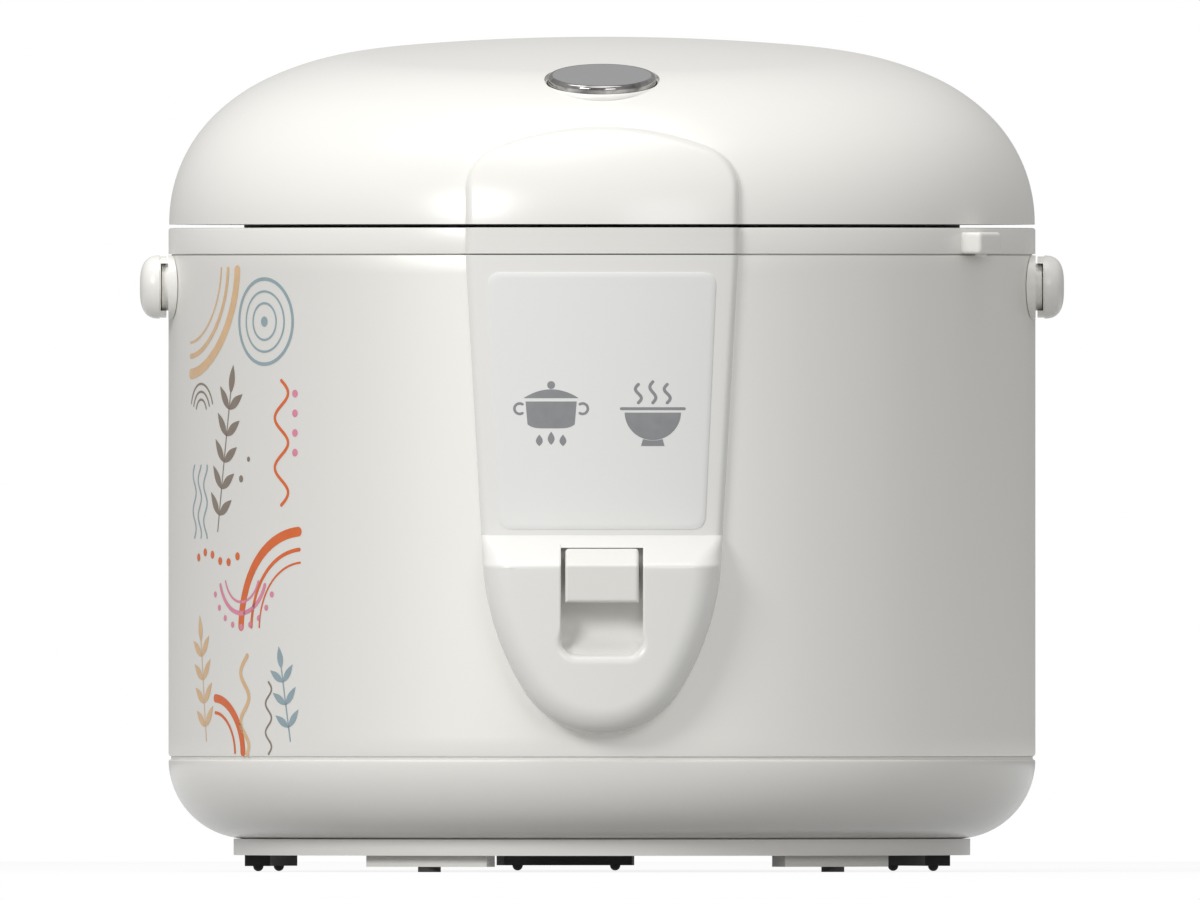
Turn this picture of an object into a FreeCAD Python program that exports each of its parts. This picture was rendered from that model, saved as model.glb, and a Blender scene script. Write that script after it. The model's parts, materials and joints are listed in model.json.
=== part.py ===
"""Jar rice cooker with a front cooking lever: every piece is a separate named solid.

Units are millimetres and degrees. The front of the cooker is -Y, +X is to the right of a person who
stands in front of it, +Z is up, and the origin lies on the cooker's axis on the table that it stands on.
"""

import FreeCAD, Part
import math
import os

import Sketcher
from FreeCAD import Placement, Rotation, Vector

os.makedirs("parts", exist_ok=True)
doc = FreeCAD.newDocument("rice_cooker")
sheet = doc.addObject("Spreadsheet::Sheet", "Sizes")

SIZES = [
    # Fits
    ("still_gap", 0.2, "gap round pieces that are fixed together"),
    ("running_gap", 0.3, "gap round pieces that move"),
    ("loose_gap", 0.6, "gap in the eyes of the lever linkage"),
    ("cut_margin", 1.0, "how far a cutting tool passes the surface"),
    # Levels of the body
    ("body_radius", 132.5, "outer radius of jacket, rim ring and base"),
    ("foot_height", 5.0, "underside of the bottom plate's rim above the table"),
    ("plate_height", 5.0, "height of the bottom plate's rim"),
    ("bowl_radius", 24.2, "rounding of the base housing, seen from the side"),
    ("groove_height", 0.9, "shadow groove between base and jacket"),
    ("groove_depth", 2.5, "depth of that groove"),
    ("jacket_height", 153.2, "height of the jacket"),
    ("jacket_wall", 0.8, "sheet thickness of jacket and liner"),
    ("hem_width", 5.0, "inward hem at the jacket's foot"),
    ("ring_height", 8.35, "height of the rim ring above the jacket"),
    ("seam_gap", 1.05, "open gap between rim ring and lid"),
    # Base
    ("plate_inset", 19.9, "bottom plate's edge inside the body's radius"),
    ("plate_wall", 2.5, "thickness of the bottom plate"),
    ("plate_rim", 3.1, "width of the bottom plate's rim"),
    ("vent_slot_length", 26.0, "length of a cooling slot in the bottom plate"),
    ("vent_slot_width", 4.0, "width of a cooling slot"),
    ("vent_slot_pitch", 12.0, "distance between cooling slots"),
    ("housing_wall", 2.5, "wall of base housing and lid shell"),
    ("housing_ledge", 20.6, "width of the base housing's floor on the bottom plate"),
    ("neck_depth", 4.0, "height of the neck inside the base housing"),
    ("post_inset", 13.6, "liner posts inside the bottom plate's edge"),
    ("post_radius", 4.5, "radius of a liner post"),
    ("post_turn", 60.0, "angle of the first liner post from the front"),
    ("foot_width", 7.8, "width of a foot"),
    ("foot_inset", 3.4, "feet inside the bottom plate's edge"),
    ("foot_span", 22.4, "angle that a foot spans"),
    ("foot_turn", 42.0, "angle of the first foot from the front"),
    ("pad_height", 1.6, "height of pads and nubs below a foot"),
    ("pad_radius", 3.5, "radius of a flat front pad"),
    ("nub_spread", 8.2, "angle of a rubber nub from the middle of its foot"),
    ("screw_turn", 15.0, "angle of the first bottom screw from the front"),
    ("screw_inset", 15.6, "bottom screws inside the bottom plate's edge"),
    ("screw_head", 3.4, "radius of a bottom screw's head"),
    ("screw_shank", 1.6, "radius of a bottom screw's shank"),
    ("screw_length", 8.0, "length of a bottom screw's shank"),
    # Rim ring, liner, pot and heater
    ("ring_width", 25.0, "width of the rim ring"),
    ("ring_wall", 2.45, "thickness of the rim ring's top"),
    ("ring_lip", 9.6, "height of the rim ring's inner lip"),
    ("ring_lip_wall", 2.9, "thickness of that lip"),
    ("skirt_height", 8.0, "height of the rim ring's skirt inside the jacket"),
    ("skirt_wall", 1.8, "thickness of that skirt"),
    ("edge_break", 0.6, "bevel on the rim ring's outer edge"),
    ("ring_rebate", 0.4, "shadow line between jacket and rim ring"),
    ("liner_step", 3.5, "inner liner outside the rim ring's opening"),
    ("liner_floor", 36.0, "underside of the liner's floor"),
    ("liner_ledge", 10.0, "liner's floor inside the heater legs"),
    ("pot_gap", 2.0, "gap between pot and rim ring"),
    ("pot_wall", 2.0, "wall of the inner pot"),
    ("pot_corner", 22.0, "outer rounding of the pot's bottom"),
    ("flange_width", 3.9, "width of the pot's flange"),
    ("pot_flange_height", 1.5, "thickness of the pot's flange"),
    ("pot_bottom", 58.0, "underside of the pot"),
    ("heater_inset", 15.5, "heater plate's edge inside the pot's radius"),
    ("heater_height", 13.7, "thickness of the heater plate"),
    ("heater_hole", 19.0, "radius of the hole in the heater plate"),
    ("heater_edge", 3.0, "bevel on the heater plate's edge"),
    ("leg_inset", 10.0, "heater legs inside the heater plate's edge"),
    ("leg_radius", 4.0, "radius of a heater leg"),
    ("band_height", 30.0, "height of the keep-warm band"),
    ("band_level", 120.0, "underside of the keep-warm band"),
    ("band_wall", 1.2, "thickness of the keep-warm band"),
    ("terminal_radius", 3.0, "radius of a heater terminal"),
    ("terminal_length", 9.0, "length of a heater terminal"),
    ("terminal_turn", 35.0, "angle of the heater terminals from the back"),
    ("terminal_inset", 32.0, "heater terminals inside the heater plate's edge"),
    ("fuse_radius", 2.2, "radius of the thermal fuse"),
    ("fuse_length", 24.0, "length of the thermal fuse"),
    ("fuse_place", 40.0, "distance of the thermal fuse behind the axis"),
    # Thermostat
    ("cup_radius", 17.2, "radius of the thermostat cup"),
    ("cup_height", 12.7, "height of the thermostat cup"),
    ("cup_wall", 0.9, "wall of the thermostat cup and its guide"),
    ("guide_gap", 0.6, "gap between cup and guide"),
    ("guide_flange", 24.0, "radius of the guide's flange"),
    ("guide_hole", 10.0, "radius of the hole in the guide's floor"),
    ("guide_depth", 4.0, "depth of the guide below the heater plate"),
    ("magnet_radius", 8.5, "radius of the magnet"),
    ("magnet_height", 6.0, "height of the magnet"),
    ("magnet_top", 51.0, "top of the magnet"),
    ("stem_radius", 3.0, "radius of the magnet's stem"),
    ("coil_radius", 13.8, "middle radius of the thermostat spring"),
    ("coil_wire", 0.55, "wire radius of the thermostat spring"),
    ("coil_turns", 3, "turns of the thermostat spring"),
    # Cooking lever and its linkage
    ("pivot_depth", 15.5, "cooking lever's pivot behind the jacket's face"),
    ("pivot_z", 90.0, "cooking lever's pivot, along Z"),
    ("hub_radius", 4.0, "radius of the lever's hub"),
    ("pin_radius", 1.5, "radius of the lever, linkage, latch and hinge pins"),
    ("tab_width", 22.4, "width of the lever's tab"),
    ("tab_top", 98.7, "top of the tab"),
    ("tab_bottom", 82.3, "lower edge of the tab"),
    ("tab_wall", 3.2, "thickness of the tab"),
    ("tab_rounding", 1.2, "rounding of the tab's edges"),
    ("arm_width", 15.0, "width of the lever's arm"),
    ("arm_height", 7.0, "height of the lever's arm"),
    ("link_reach", 7.0, "distance of the link rod in front of the pivot"),
    ("link_width", 5.0, "width of the link rod"),
    ("link_thick", 1.5, "thickness of the link rod"),
    ("swing_step", 42.0, "magnet lever's pivot behind the cooking lever's"),
    ("swing_z", 28.5, "magnet lever's pivot, along Z"),
    ("swing_width", 12.0, "width of the magnet lever"),
    ("swing_thick", 2.6, "thickness of the magnet lever"),
    ("swing_side", 2.0, "middle of the magnet lever, along X"),
    ("swing_tail", 6.0, "reach of the magnet lever behind the axis"),
    ("bracket_wall", 2.0, "thickness of the lever bracket's ears"),
    ("bracket_length", 14.0, "length of the lever bracket"),
    ("switch_length", 18.0, "length of the switch"),
    ("switch_width", 9.0, "width of the switch"),
    ("switch_height", 13.0, "height of the switch"),
    ("switch_step", 25.0, "middle of the switch behind the magnet lever's pivot"),
    ("block_length", 40.0, "length of the terminal block"),
    ("block_width", 18.0, "width of the terminal block"),
    ("block_height", 14.0, "height of the terminal block"),
    ("block_side", 47.0, "terminal block inside the base housing's floor, along X"),
    ("block_back", 37.0, "terminal block inside the base housing's floor, along Y"),
    # Front panel
    ("tongue_rise", 3.0, "height of the front panel above the jacket"),
    ("tongue_half", 41.6, "half width of the front panel at its top"),
    ("panel_half", 36.6, "half width of the front panel above the bulge"),
    ("panel_turn", 100.0, "level at which the panel starts to narrow"),
    ("panel_tip", 42.1, "lowest point of the panel"),
    ("tip_radius", 28.0, "rounding of that tip"),
    ("panel_edge", 2.2, "rounding of the panel's upper edges"),
    ("bulge_top", 102.8, "level at which the bulge starts"),
    ("bulge_front", 93.6, "level at which the bulge is highest"),
    ("bulge_rise", 12.1, "greatest height of the bulge above the panel"),
    ("bulge_low_rise", 10.7, "height of the bulge above the panel at its tip"),
    ("bulge_edge", 8.0, "rounding of the bulge's edge"),
    ("pocket_half", 12.5, "half width of the finger pocket"),
    ("pocket_top", 99.0, "top of the finger pocket"),
    ("pocket_bottom", 66.5, "lower lip of the finger pocket"),
    ("pocket_corner", 5.0, "rounding of the pocket's lower corners"),
    ("scoop_radius", 13.0, "rounding of the pocket's floor"),
    ("pocket_depth", 12.4, "depth of the finger pocket"),
    ("ear_wall", 3.0, "thickness of the lever ears"),
    ("ear_tail", 4.4, "reach of the lever ears behind the pivot"),
    ("ear_height", 14.0, "height of the lever ears"),
    ("label_drop", 5.4, "top of the panel label below the jacket's top"),
    ("label_bottom", 104.6, "foot of the panel label"),
    ("label_top_half", 34.9, "half width of the label at its top"),
    ("label_bottom_half", 31.4, "half width of the label at its foot"),
    ("label_film", 0.25, "thickness of the label film"),
    ("lamp_radius", 2.5, "radius of an indicator lamp"),
    ("lamp_x", 15.5, "distance of the lamps from the middle"),
    ("lamp_z", 140.0, "level of the lamps"),
    ("board_half", 26.0, "half width of the indicator board"),
    ("board_height", 18.0, "height of the indicator board"),
    ("board_wall", 1.6, "thickness of the indicator board"),
    ("board_depth", 8.0, "back of the indicator board behind the jacket's face"),
    # Lid
    ("lid_inset", 0.2, "foot of the lid's dome inside the body's radius"),
    ("lid_tilt", 4.0, "forward tilt of the dome"),
    ("dome_start", 0.7, "height at which the dome starts to curve"),
    ("dome_depth", 12.0, "reach of the dome's plain foot below the seam"),
    ("shoulder_radius", 45.4, "radius of the dome's shoulder"),
    ("shoulder_turn", 45.7, "angle at the top of the shoulder"),
    ("haunch_radius", 57.2, "radius of the dome's haunch"),
    ("haunch_turn", 64.5, "angle at the top of the haunch"),
    ("brow_radius", 88.8, "radius of the dome's brow"),
    ("brow_turn", 84.0, "angle at the top of the brow"),
    ("arch_height", 29.8, "height of the lid's tongue above the seam"),
    ("arch_radius", 89.0, "rounding of the tongue's top"),
    ("arch_corner", 14.0, "rounding of the tongue's corners"),
    ("liner_room", 0.9, "room between lid liner and lid shell"),
    ("lid_floor", 2.5, "thickness of the lid liner"),
    ("step_height", 5.8, "height of the lid liner's step"),
    ("step_wall", 2.0, "wall of the lid liner's step"),
    ("inner_lid_inset", 1.5, "inner lid's edge inside the pot's radius"),
    ("inner_lid_wall", 0.8, "thickness of the inner lid"),
    ("inner_lid_level", 2.3, "inner lid above the seam"),
    ("gasket_lip", 4.4, "reach of the gasket beyond the inner lid"),
    ("gasket_grip", 2.0, "grip of the gasket on the inner lid"),
    ("gasket_height", 3.8, "height of the gasket"),
    ("stud_radius", 3.6, "radius of the inner lid's stud"),
    ("stud_head", 8.0, "radius of the stud's head"),
    ("steam_hole", 3.0, "radius of the steam holes in inner lid and liner"),
    ("steam_inset", 48.5, "steam vent inside the body's radius"),
    ("steam_turn", 12.0, "angle between the steam holes in the inner lid"),
    # Lid button and latch
    ("button_radius", 16.6, "radius of the lid button"),
    ("button_bevel", 1.3, "bevel on the button's edge"),
    ("button_skirt", 4.0, "height of the button's disc"),
    ("button_tilt", 12.7, "forward tilt of the button"),
    ("button_inset", 45.5, "middle of the button's top inside the body's radius"),
    ("button_rise", 45.6, "middle of the button's top above the seam"),
    ("button_stem", 5.0, "radius of the button's stem"),
    ("button_length", 26.0, "length from the button's top to the end of its stem"),
    ("well_wall", 1.4, "wall of the button's well"),
    ("well_depth", 14.0, "depth of the well below the button's top"),
    ("well_rim", 0.9, "depth of the well's rim below the button's top"),
    ("button_coil", 8.0, "middle radius of the button's spring"),
    ("button_turns", 3, "turns of the button's spring"),
    ("button_wire", 0.5, "wire radius of the button's spring"),
    ("latch_depth", 16.5, "latch's pivot inside the body's radius"),
    ("latch_rise", 12.3, "latch's pivot above the seam"),
    ("latch_hub", 3.6, "radius of the latch's hub"),
    ("latch_width", 9.0, "width of the latch"),
    ("latch_wall", 3.0, "thickness of the latch's arms"),
    ("latch_drop", 6.05, "lower end of the latch below the rim ring's top"),
    ("latch_nose", 2.2, "height of the latch's nose"),
    ("latch_slot", 3.2, "half length of the latch's slots"),
    ("latch_ear", 2.4, "thickness of the latch's ears"),
    # Vent
    ("vent_radius", 17.0, "radius of the vent cap"),
    ("vent_rise", 55.9, "top of the vent cap above the seam"),
    ("vent_height", 11.0, "height of the vent cap"),
    ("vent_wall", 1.5, "wall of vent cap and vent tube"),
    ("vent_depth", 14.0, "depth of the vent's cup below its top"),
    ("vent_pipe", 6.0, "radius of the vent pipe"),
    ("vent_slit", 1.6, "width of the steam slits"),
    # Hinge
    ("hinge_out", 0.5, "hinge axis behind the body's radius"),
    ("hinge_rise", 0.3, "hinge axis above the seam"),
    ("knuckle_radius", 5.0, "radius of the hinge knuckles"),
    ("knuckle_half", 20.0, "half width of the lid's knuckle"),
    ("hinge_half", 33.0, "half width of the hinge"),
    ("hinge_coil", 2.75, "middle radius of the hinge spring"),
    ("hinge_turns", 5, "turns of the hinge spring"),
    ("hinge_wire", 0.4, "wire radius of the hinge spring"),
    ("hinge_well", 10.0, "half width of the hinge spring's well"),
    # Handle
    ("swivel_y", -18.5, "handle's pivot, along Y"),
    ("swivel_drop", 9.7, "handle's pivot below the jacket's top"),
    ("boss_radius", 9.65, "radius of the handle's boss"),
    ("neck_radius", 7.2, "radius of the neck between boss and handle"),
    ("swivel_radius", 4.0, "radius of the handle's pivot stud"),
    ("boss_stem", 5.0, "radius of the boss's stem in the jacket"),
    ("bail_gap", 2.3, "gap between body and handle"),
    ("bail_wall", 5.6, "thickness of the handle"),
    ("bail_height", 13.0, "height of the handle"),
    ("bail_back", 8.0, "centre of the handle's bend behind the axis"),
    ("bend_relief", 1.6, "extra room between the handle's bend and the lid"),
    ("cap_radius", 9.35, "radius of the handle's end caps"),
    ("cap_height", 3.6, "height of the end caps' dome"),
    ("hub_depth", 2.8, "thickness of the handle at its pivots"),
    ("collar_wall", 1.7, "wall of the open collar behind an end cap"),
    # Scoop bracket
    ("scoop_turn", 58.6, "angle of the scoop bracket from the front"),
    ("scoop_rise", 6.7, "reach of the scoop bracket beyond the body"),
    ("scoop_width", 12.8, "width of the scoop bracket"),
    ("scoop_height", 6.6, "height of the scoop bracket"),
    ("scoop_rounding", 1.2, "rounding of the scoop bracket"),
    ("scoop_peg", 1.8, "radius of the peg below the scoop bracket"),
    # Dew cup and power inlet
    ("dew_half", 31.0, "half width of the dew cup"),
    ("dew_drop", 22.3, "top of the dew cup below the jacket's top"),
    ("dew_height", 46.0, "height of the dew cup"),
    ("dew_depth", 15.0, "reach of the dew cup behind the body"),
    ("dew_wall", 1.6, "wall of the dew cup and its holder"),
    ("dew_rounding", 5.0, "rounding of the dew cup's corners"),
    ("holder_height", 14.0, "height of the dew cup's holder"),
    ("holder_depth", 8.5, "reach of the holder behind the body"),
    ("chute_half", 9.0, "half width of the drain chute"),
    ("chute_depth", 6.5, "reach of the drain chute behind the body"),
    ("inlet_z", 62.0, "middle of the power inlet, along Z"),
    ("inlet_half", 12.0, "half width of the inlet's mouth"),
    ("inlet_mouth", 16.4, "height of the inlet's mouth"),
    ("inlet_depth", 18.0, "depth of the inlet's mouth"),
    ("inlet_wall", 2.0, "wall of the inlet"),
    ("inlet_flange", 5.0, "flange round the inlet's mouth"),
    ("inlet_rise", 3.1, "reach of the power inlet behind the body"),
    ("blade_width", 2.0, "width of an inlet pin"),
    ("blade_height", 4.0, "height of an inlet pin"),
    ("blade_length", 11.0, "length of an inlet pin"),
    ("blade_pitch", 7.0, "distance between inlet pins"),
]

for row, (alias, number, meaning) in enumerate(SIZES, start=1):
    sheet.set("A%d" % row, meaning)
    sheet.set("B%d" % row, str(number))
    sheet.setAlias("B%d" % row, alias)
doc.recompute()


class Size:
    """A size that carries its number and the sheet formula that gives it."""

    def __init__(self, number, formula):
        self.number = number
        self.formula = formula

    def __add__(self, other):
        other = as_size(other)
        return Size(self.number + other.number, "(%s + %s)" % (self.formula, other.formula))

    def __sub__(self, other):
        other = as_size(other)
        return Size(self.number - other.number, "(%s - %s)" % (self.formula, other.formula))

    def __mul__(self, other):
        other = as_size(other)
        return Size(self.number * other.number, "%s * %s" % (self.formula, other.formula))

    def __truediv__(self, other):
        other = as_size(other)
        return Size(self.number / other.number, "%s / (%s)" % (self.formula, other.formula))

    def __neg__(self):
        return Size(-self.number, "(-%s)" % self.formula)

    def squared(self):
        return Size(self.number ** 2, "(%s)^2" % self.formula)

    def root(self):
        return Size(math.sqrt(self.number), "sqrt(%s)" % self.formula)

    def sine(self):
        return Size(math.sin(math.radians(self.number)), "sin(%s)" % self.formula)

    def cosine(self):
        return Size(math.cos(math.radians(self.number)), "cos(%s)" % self.formula)


def as_size(value):
    """Returns a value as a Size; a plain number is its own formula."""
    return value if isinstance(value, Size) else Size(float(value), "(%s)" % value)


class Sizes:
    """The sheet's sizes, each under its own name."""

    def __init__(self, rows):
        for name, number, _ in rows:
            setattr(self, name, Size(float(number), "Sizes." + name))


s = Sizes(SIZES)
NOTHING = as_size(0)
FAR = as_size(200)
FULL_TURN = 360
POSTS = 3
SCREWS = 4
FEET = 5
CLOSE = 0.01
X_AXIS = Rotation(Vector(0, 1, 0), 90)
Y_AXIS = Rotation(Vector(1, 0, 0), -90)
Z_AXIS = Rotation()
finished = []


def bind(thing, prop, size):
    """Ties one property of a feature to a size."""
    thing.setExpression(prop, as_size(size).formula)


def place(thing, x=NOTHING, y=NOTHING, z=NOTHING, rotation=Z_AXIS):
    """Puts a feature at a bound place with a fixed rotation."""
    spot = [as_size(v) for v in (x, y, z)]
    thing.Placement = Placement(Vector(*[v.number for v in spot]), rotation)
    for letter, value in zip("xyz", spot):
        bind(thing, "Placement.Base." + letter, value)
    return thing


def turn(thing, axis, angle):
    """Turns a placed feature about an axis by a bound angle."""
    thing.Placement.Rotation = Rotation(axis, as_size(angle).number)
    bind(thing, "Placement.Rotation.Angle", angle)
    return thing


def arc_between(start, end, radius):
    """Returns the arc from start to end; its centre lies left of the way for a positive radius."""
    way = end - start
    left = Vector(-way.y, way.x, 0).normalize()
    rise = math.sqrt(radius ** 2 - (way.Length / 2) ** 2)
    centre = (start + end) * 0.5 + left * math.copysign(rise, radius)
    angles = [math.atan2(p.y - centre.y, p.x - centre.x) for p in (start, end)]
    if radius < 0:
        angles.reverse()
    return Part.ArcOfCircle(Part.Circle(centre, Vector(0, 0, 1), abs(radius)), *angles)


def outline(body, plane, corners):
    """Adds a closed sketch. A corner is (x, y), or (x, y, radius) where an arc leads to the next corner."""
    sketch = body.newObject("Sketcher::SketchObject", body.Name + "_outline")
    support = [f for f in body.Origin.OriginFeatures if f.Role == plane]
    sketch.AttachmentSupport = (support[0], [""])
    sketch.MapMode = "FlatFace"
    spots = [Vector(as_size(c[0]).number, as_size(c[1]).number, 0) for c in corners]
    ends = []
    bound = []
    for i, corner in enumerate(corners):
        start, end = spots[i], spots[(i + 1) % len(spots)]
        if len(corner) == 3:
            radius = as_size(corner[2])
            edge = sketch.addGeometry(arc_between(start, end, radius.number), False)
            ends.append((edge, 1, 2) if radius.number > 0 else (edge, 2, 1))
            positive = radius if radius.number > 0 else -radius
            rule = sketch.addConstraint(Sketcher.Constraint("Radius", edge, positive.number))
            bound.append((rule, positive))
        else:
            edge = sketch.addGeometry(Part.LineSegment(start, end), False)
            ends.append((edge, 1, 2))
    for i, corner in enumerate(corners):
        edge, first, last = ends[i]
        following = ends[(i + 1) % len(ends)]
        sketch.addConstraint(Sketcher.Constraint("Coincident", edge, last, following[0], following[1]))
        for kind, value in zip(("DistanceX", "DistanceY"), corner):
            value = as_size(value)
            rule = sketch.addConstraint(Sketcher.Constraint(kind, edge, first, value.number))
            bound.append((rule, value))
    for rule, value in bound:
        sketch.setExpression("Constraints[%d]" % rule, value.formula)
    return sketch


def turned(name, corners, angle=360):
    """Turns an outline of (radius, height) corners about the Z axis."""
    body = doc.addObject("PartDesign::Body", name)
    sketch = outline(body, "XZ_Plane", corners)
    feature = body.newObject("PartDesign::Revolution", name + "_turn")
    feature.Profile = sketch
    feature.ReferenceAxis = (sketch, ["V_Axis"])
    bind(feature, "Angle", angle)
    feature.Midplane = True
    return body


def prism(name, plane, corners, length):
    """Pads an outline to both sides of its plane by half the length."""
    body = doc.addObject("PartDesign::Body", name)
    feature = body.newObject("PartDesign::Pad", name + "_pad")
    feature.Profile = outline(body, plane, corners)
    bind(feature, "Length", length)
    feature.Midplane = True
    return body


def rod(name, radius, length, x=NOTHING, y=NOTHING, z=NOTHING, along=Z_AXIS):
    """A round rod that starts at a point and runs along an axis."""
    thing = doc.addObject("Part::Cylinder", name)
    bind(thing, "Radius", radius)
    bind(thing, "Height", length)
    return place(thing, x, y, z, along)


def block(name, low, high):
    """A box between two corners."""
    thing = doc.addObject("Part::Box", name)
    for prop, a, b in zip(("Length", "Width", "Height"), low, high):
        bind(thing, prop, as_size(b) - a)
    return place(thing, *low)


def ball(name, radius, x, y, z):
    """A ball about a point."""
    thing = doc.addObject("Part::Sphere", name)
    bind(thing, "Radius", radius)
    return place(thing, x, y, z)


def join(name, *things):
    """One solid of several that overlap, or a group of those that do not."""
    thing = doc.addObject("Part::MultiFuse", name)
    thing.Shapes = list(things)
    return thing


def cut(name, base, *tools):
    """Takes tools out of a solid."""
    thing = doc.addObject("Part::Cut", name)
    thing.Base = base
    thing.Tool = tools[0] if len(tools) == 1 else join(name + "_tools", *tools)
    return thing


def overlap(name, *things):
    """What several solids share."""
    thing = doc.addObject("Part::MultiCommon", name)
    thing.Shapes = list(things)
    return thing


def rounded(name, base, size, wanted):
    """Rounds the edges of a solid for which wanted(edge) holds."""
    doc.recompute()
    thing = doc.addObject("Part::Fillet", name)
    thing.Base = base
    number = as_size(size).number
    picked = [i for i, edge in enumerate(base.Shape.Edges, start=1) if wanted(edge)]
    thing.Edges = [(i, number, number) for i in picked]
    return thing


def around(name, thing, angle):
    """A copy of a feature, turned about the cooker's axis by an angle from the front."""
    copy = doc.addObject("Part::Compound", name)
    copy.Links = [thing]
    return turn(place(copy), Vector(0, 0, 1), angle)


def finish(node, thing):
    """Marks a feature as the finished sub-part of a node."""
    thing.Label = node
    finished.append((node, thing))
    return thing


def middle(edge):
    """The middle point of an edge."""
    return edge.valueAt((edge.FirstParameter + edge.LastParameter) / 2)


def tube_outline(inner, outer, low, high):
    """The (radius, height) corners of a plain ring."""
    return [(inner, low), (outer, low), (outer, high), (inner, high)]


def drum(name, radius):
    """A round core about the cooker's axis, taller than the body."""
    return rod(name, radius, seam * 2)


# Levels that follow from the driving sizes
plate_top = s.foot_height + s.plate_height
plate_under = plate_top - s.plate_wall
bowl_top = plate_top + s.bowl_radius
jacket_foot = bowl_top + s.groove_height
jacket_top = jacket_foot + s.jacket_height
jacket_inner = s.body_radius - s.jacket_wall
jacket_outer = s.body_radius + s.still_gap
ring_top = jacket_top + s.ring_height
seam = ring_top + s.seam_gap
heater_top = s.pot_bottom - s.running_gap
heater_under = heater_top - s.heater_height
plate_radius = s.body_radius - s.plate_inset
housing_inner = plate_radius - s.housing_ledge
block_x = s.block_side - housing_inner
block_y = housing_inner - s.block_back
post_place = plate_radius - s.post_inset
foot_outer = plate_radius - s.foot_inset
foot_inner = foot_outer - s.foot_width
screw_place = plate_radius - s.screw_inset
ring_inner = s.body_radius - s.ring_width
liner_inner = ring_inner + s.liner_step
pot_radius = ring_inner - s.pot_gap
pot_flange = pot_radius + s.flange_width
heater_radius = pot_radius - s.heater_inset
leg_place = heater_radius - s.leg_inset
terminal_place = heater_radius - s.terminal_inset
liner_hole = leg_place - s.liner_ledge
inner_lid_radius = pot_radius - s.inner_lid_inset
gasket_outer = inner_lid_radius + s.gasket_lip
gasket_inner = inner_lid_radius - s.gasket_grip
tongue_radius = s.body_radius + s.tongue_rise
bulge_reach = tongue_radius + s.bulge_rise
bulge_low_reach = tongue_radius + s.bulge_low_rise
pocket_floor = bulge_reach - s.pocket_depth
pivot_y = s.pivot_depth - s.body_radius
swing_y = pivot_y + s.swing_step
switch_y = swing_y + s.switch_step
board_y = s.board_depth - s.body_radius
label_top = jacket_top - s.label_drop
lid_radius = s.body_radius - s.lid_inset
arch_top = seam + s.arch_height
liner_edge = lid_radius - s.housing_wall - s.liner_room
step_radius = pot_flange + s.loose_gap + s.step_wall
steam_place = s.body_radius - s.steam_inset
button_y = s.button_inset - s.body_radius
button_z = seam + s.button_rise
latch_y = s.latch_depth - s.body_radius
latch_z = seam + s.latch_rise
latch_bottom = ring_top - s.latch_drop
vent_top = seam + s.vent_rise
hinge_y = s.body_radius + s.hinge_out
hinge_z = seam + s.hinge_rise
swivel_z = jacket_top - s.swivel_drop
bail_inner = s.body_radius + s.bail_gap
cap_rim = bail_inner + s.hub_depth
cap_reach = cap_rim + s.cap_height
scoop_reach = s.body_radius + s.scoop_rise
dew_reach = s.body_radius + s.dew_depth
dew_top = jacket_top - s.dew_drop
dew_bottom = dew_top - s.dew_height
holder_reach = s.body_radius + s.holder_depth
chute_reach = s.body_radius + s.chute_depth
inlet_face = s.body_radius + s.inlet_rise


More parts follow.
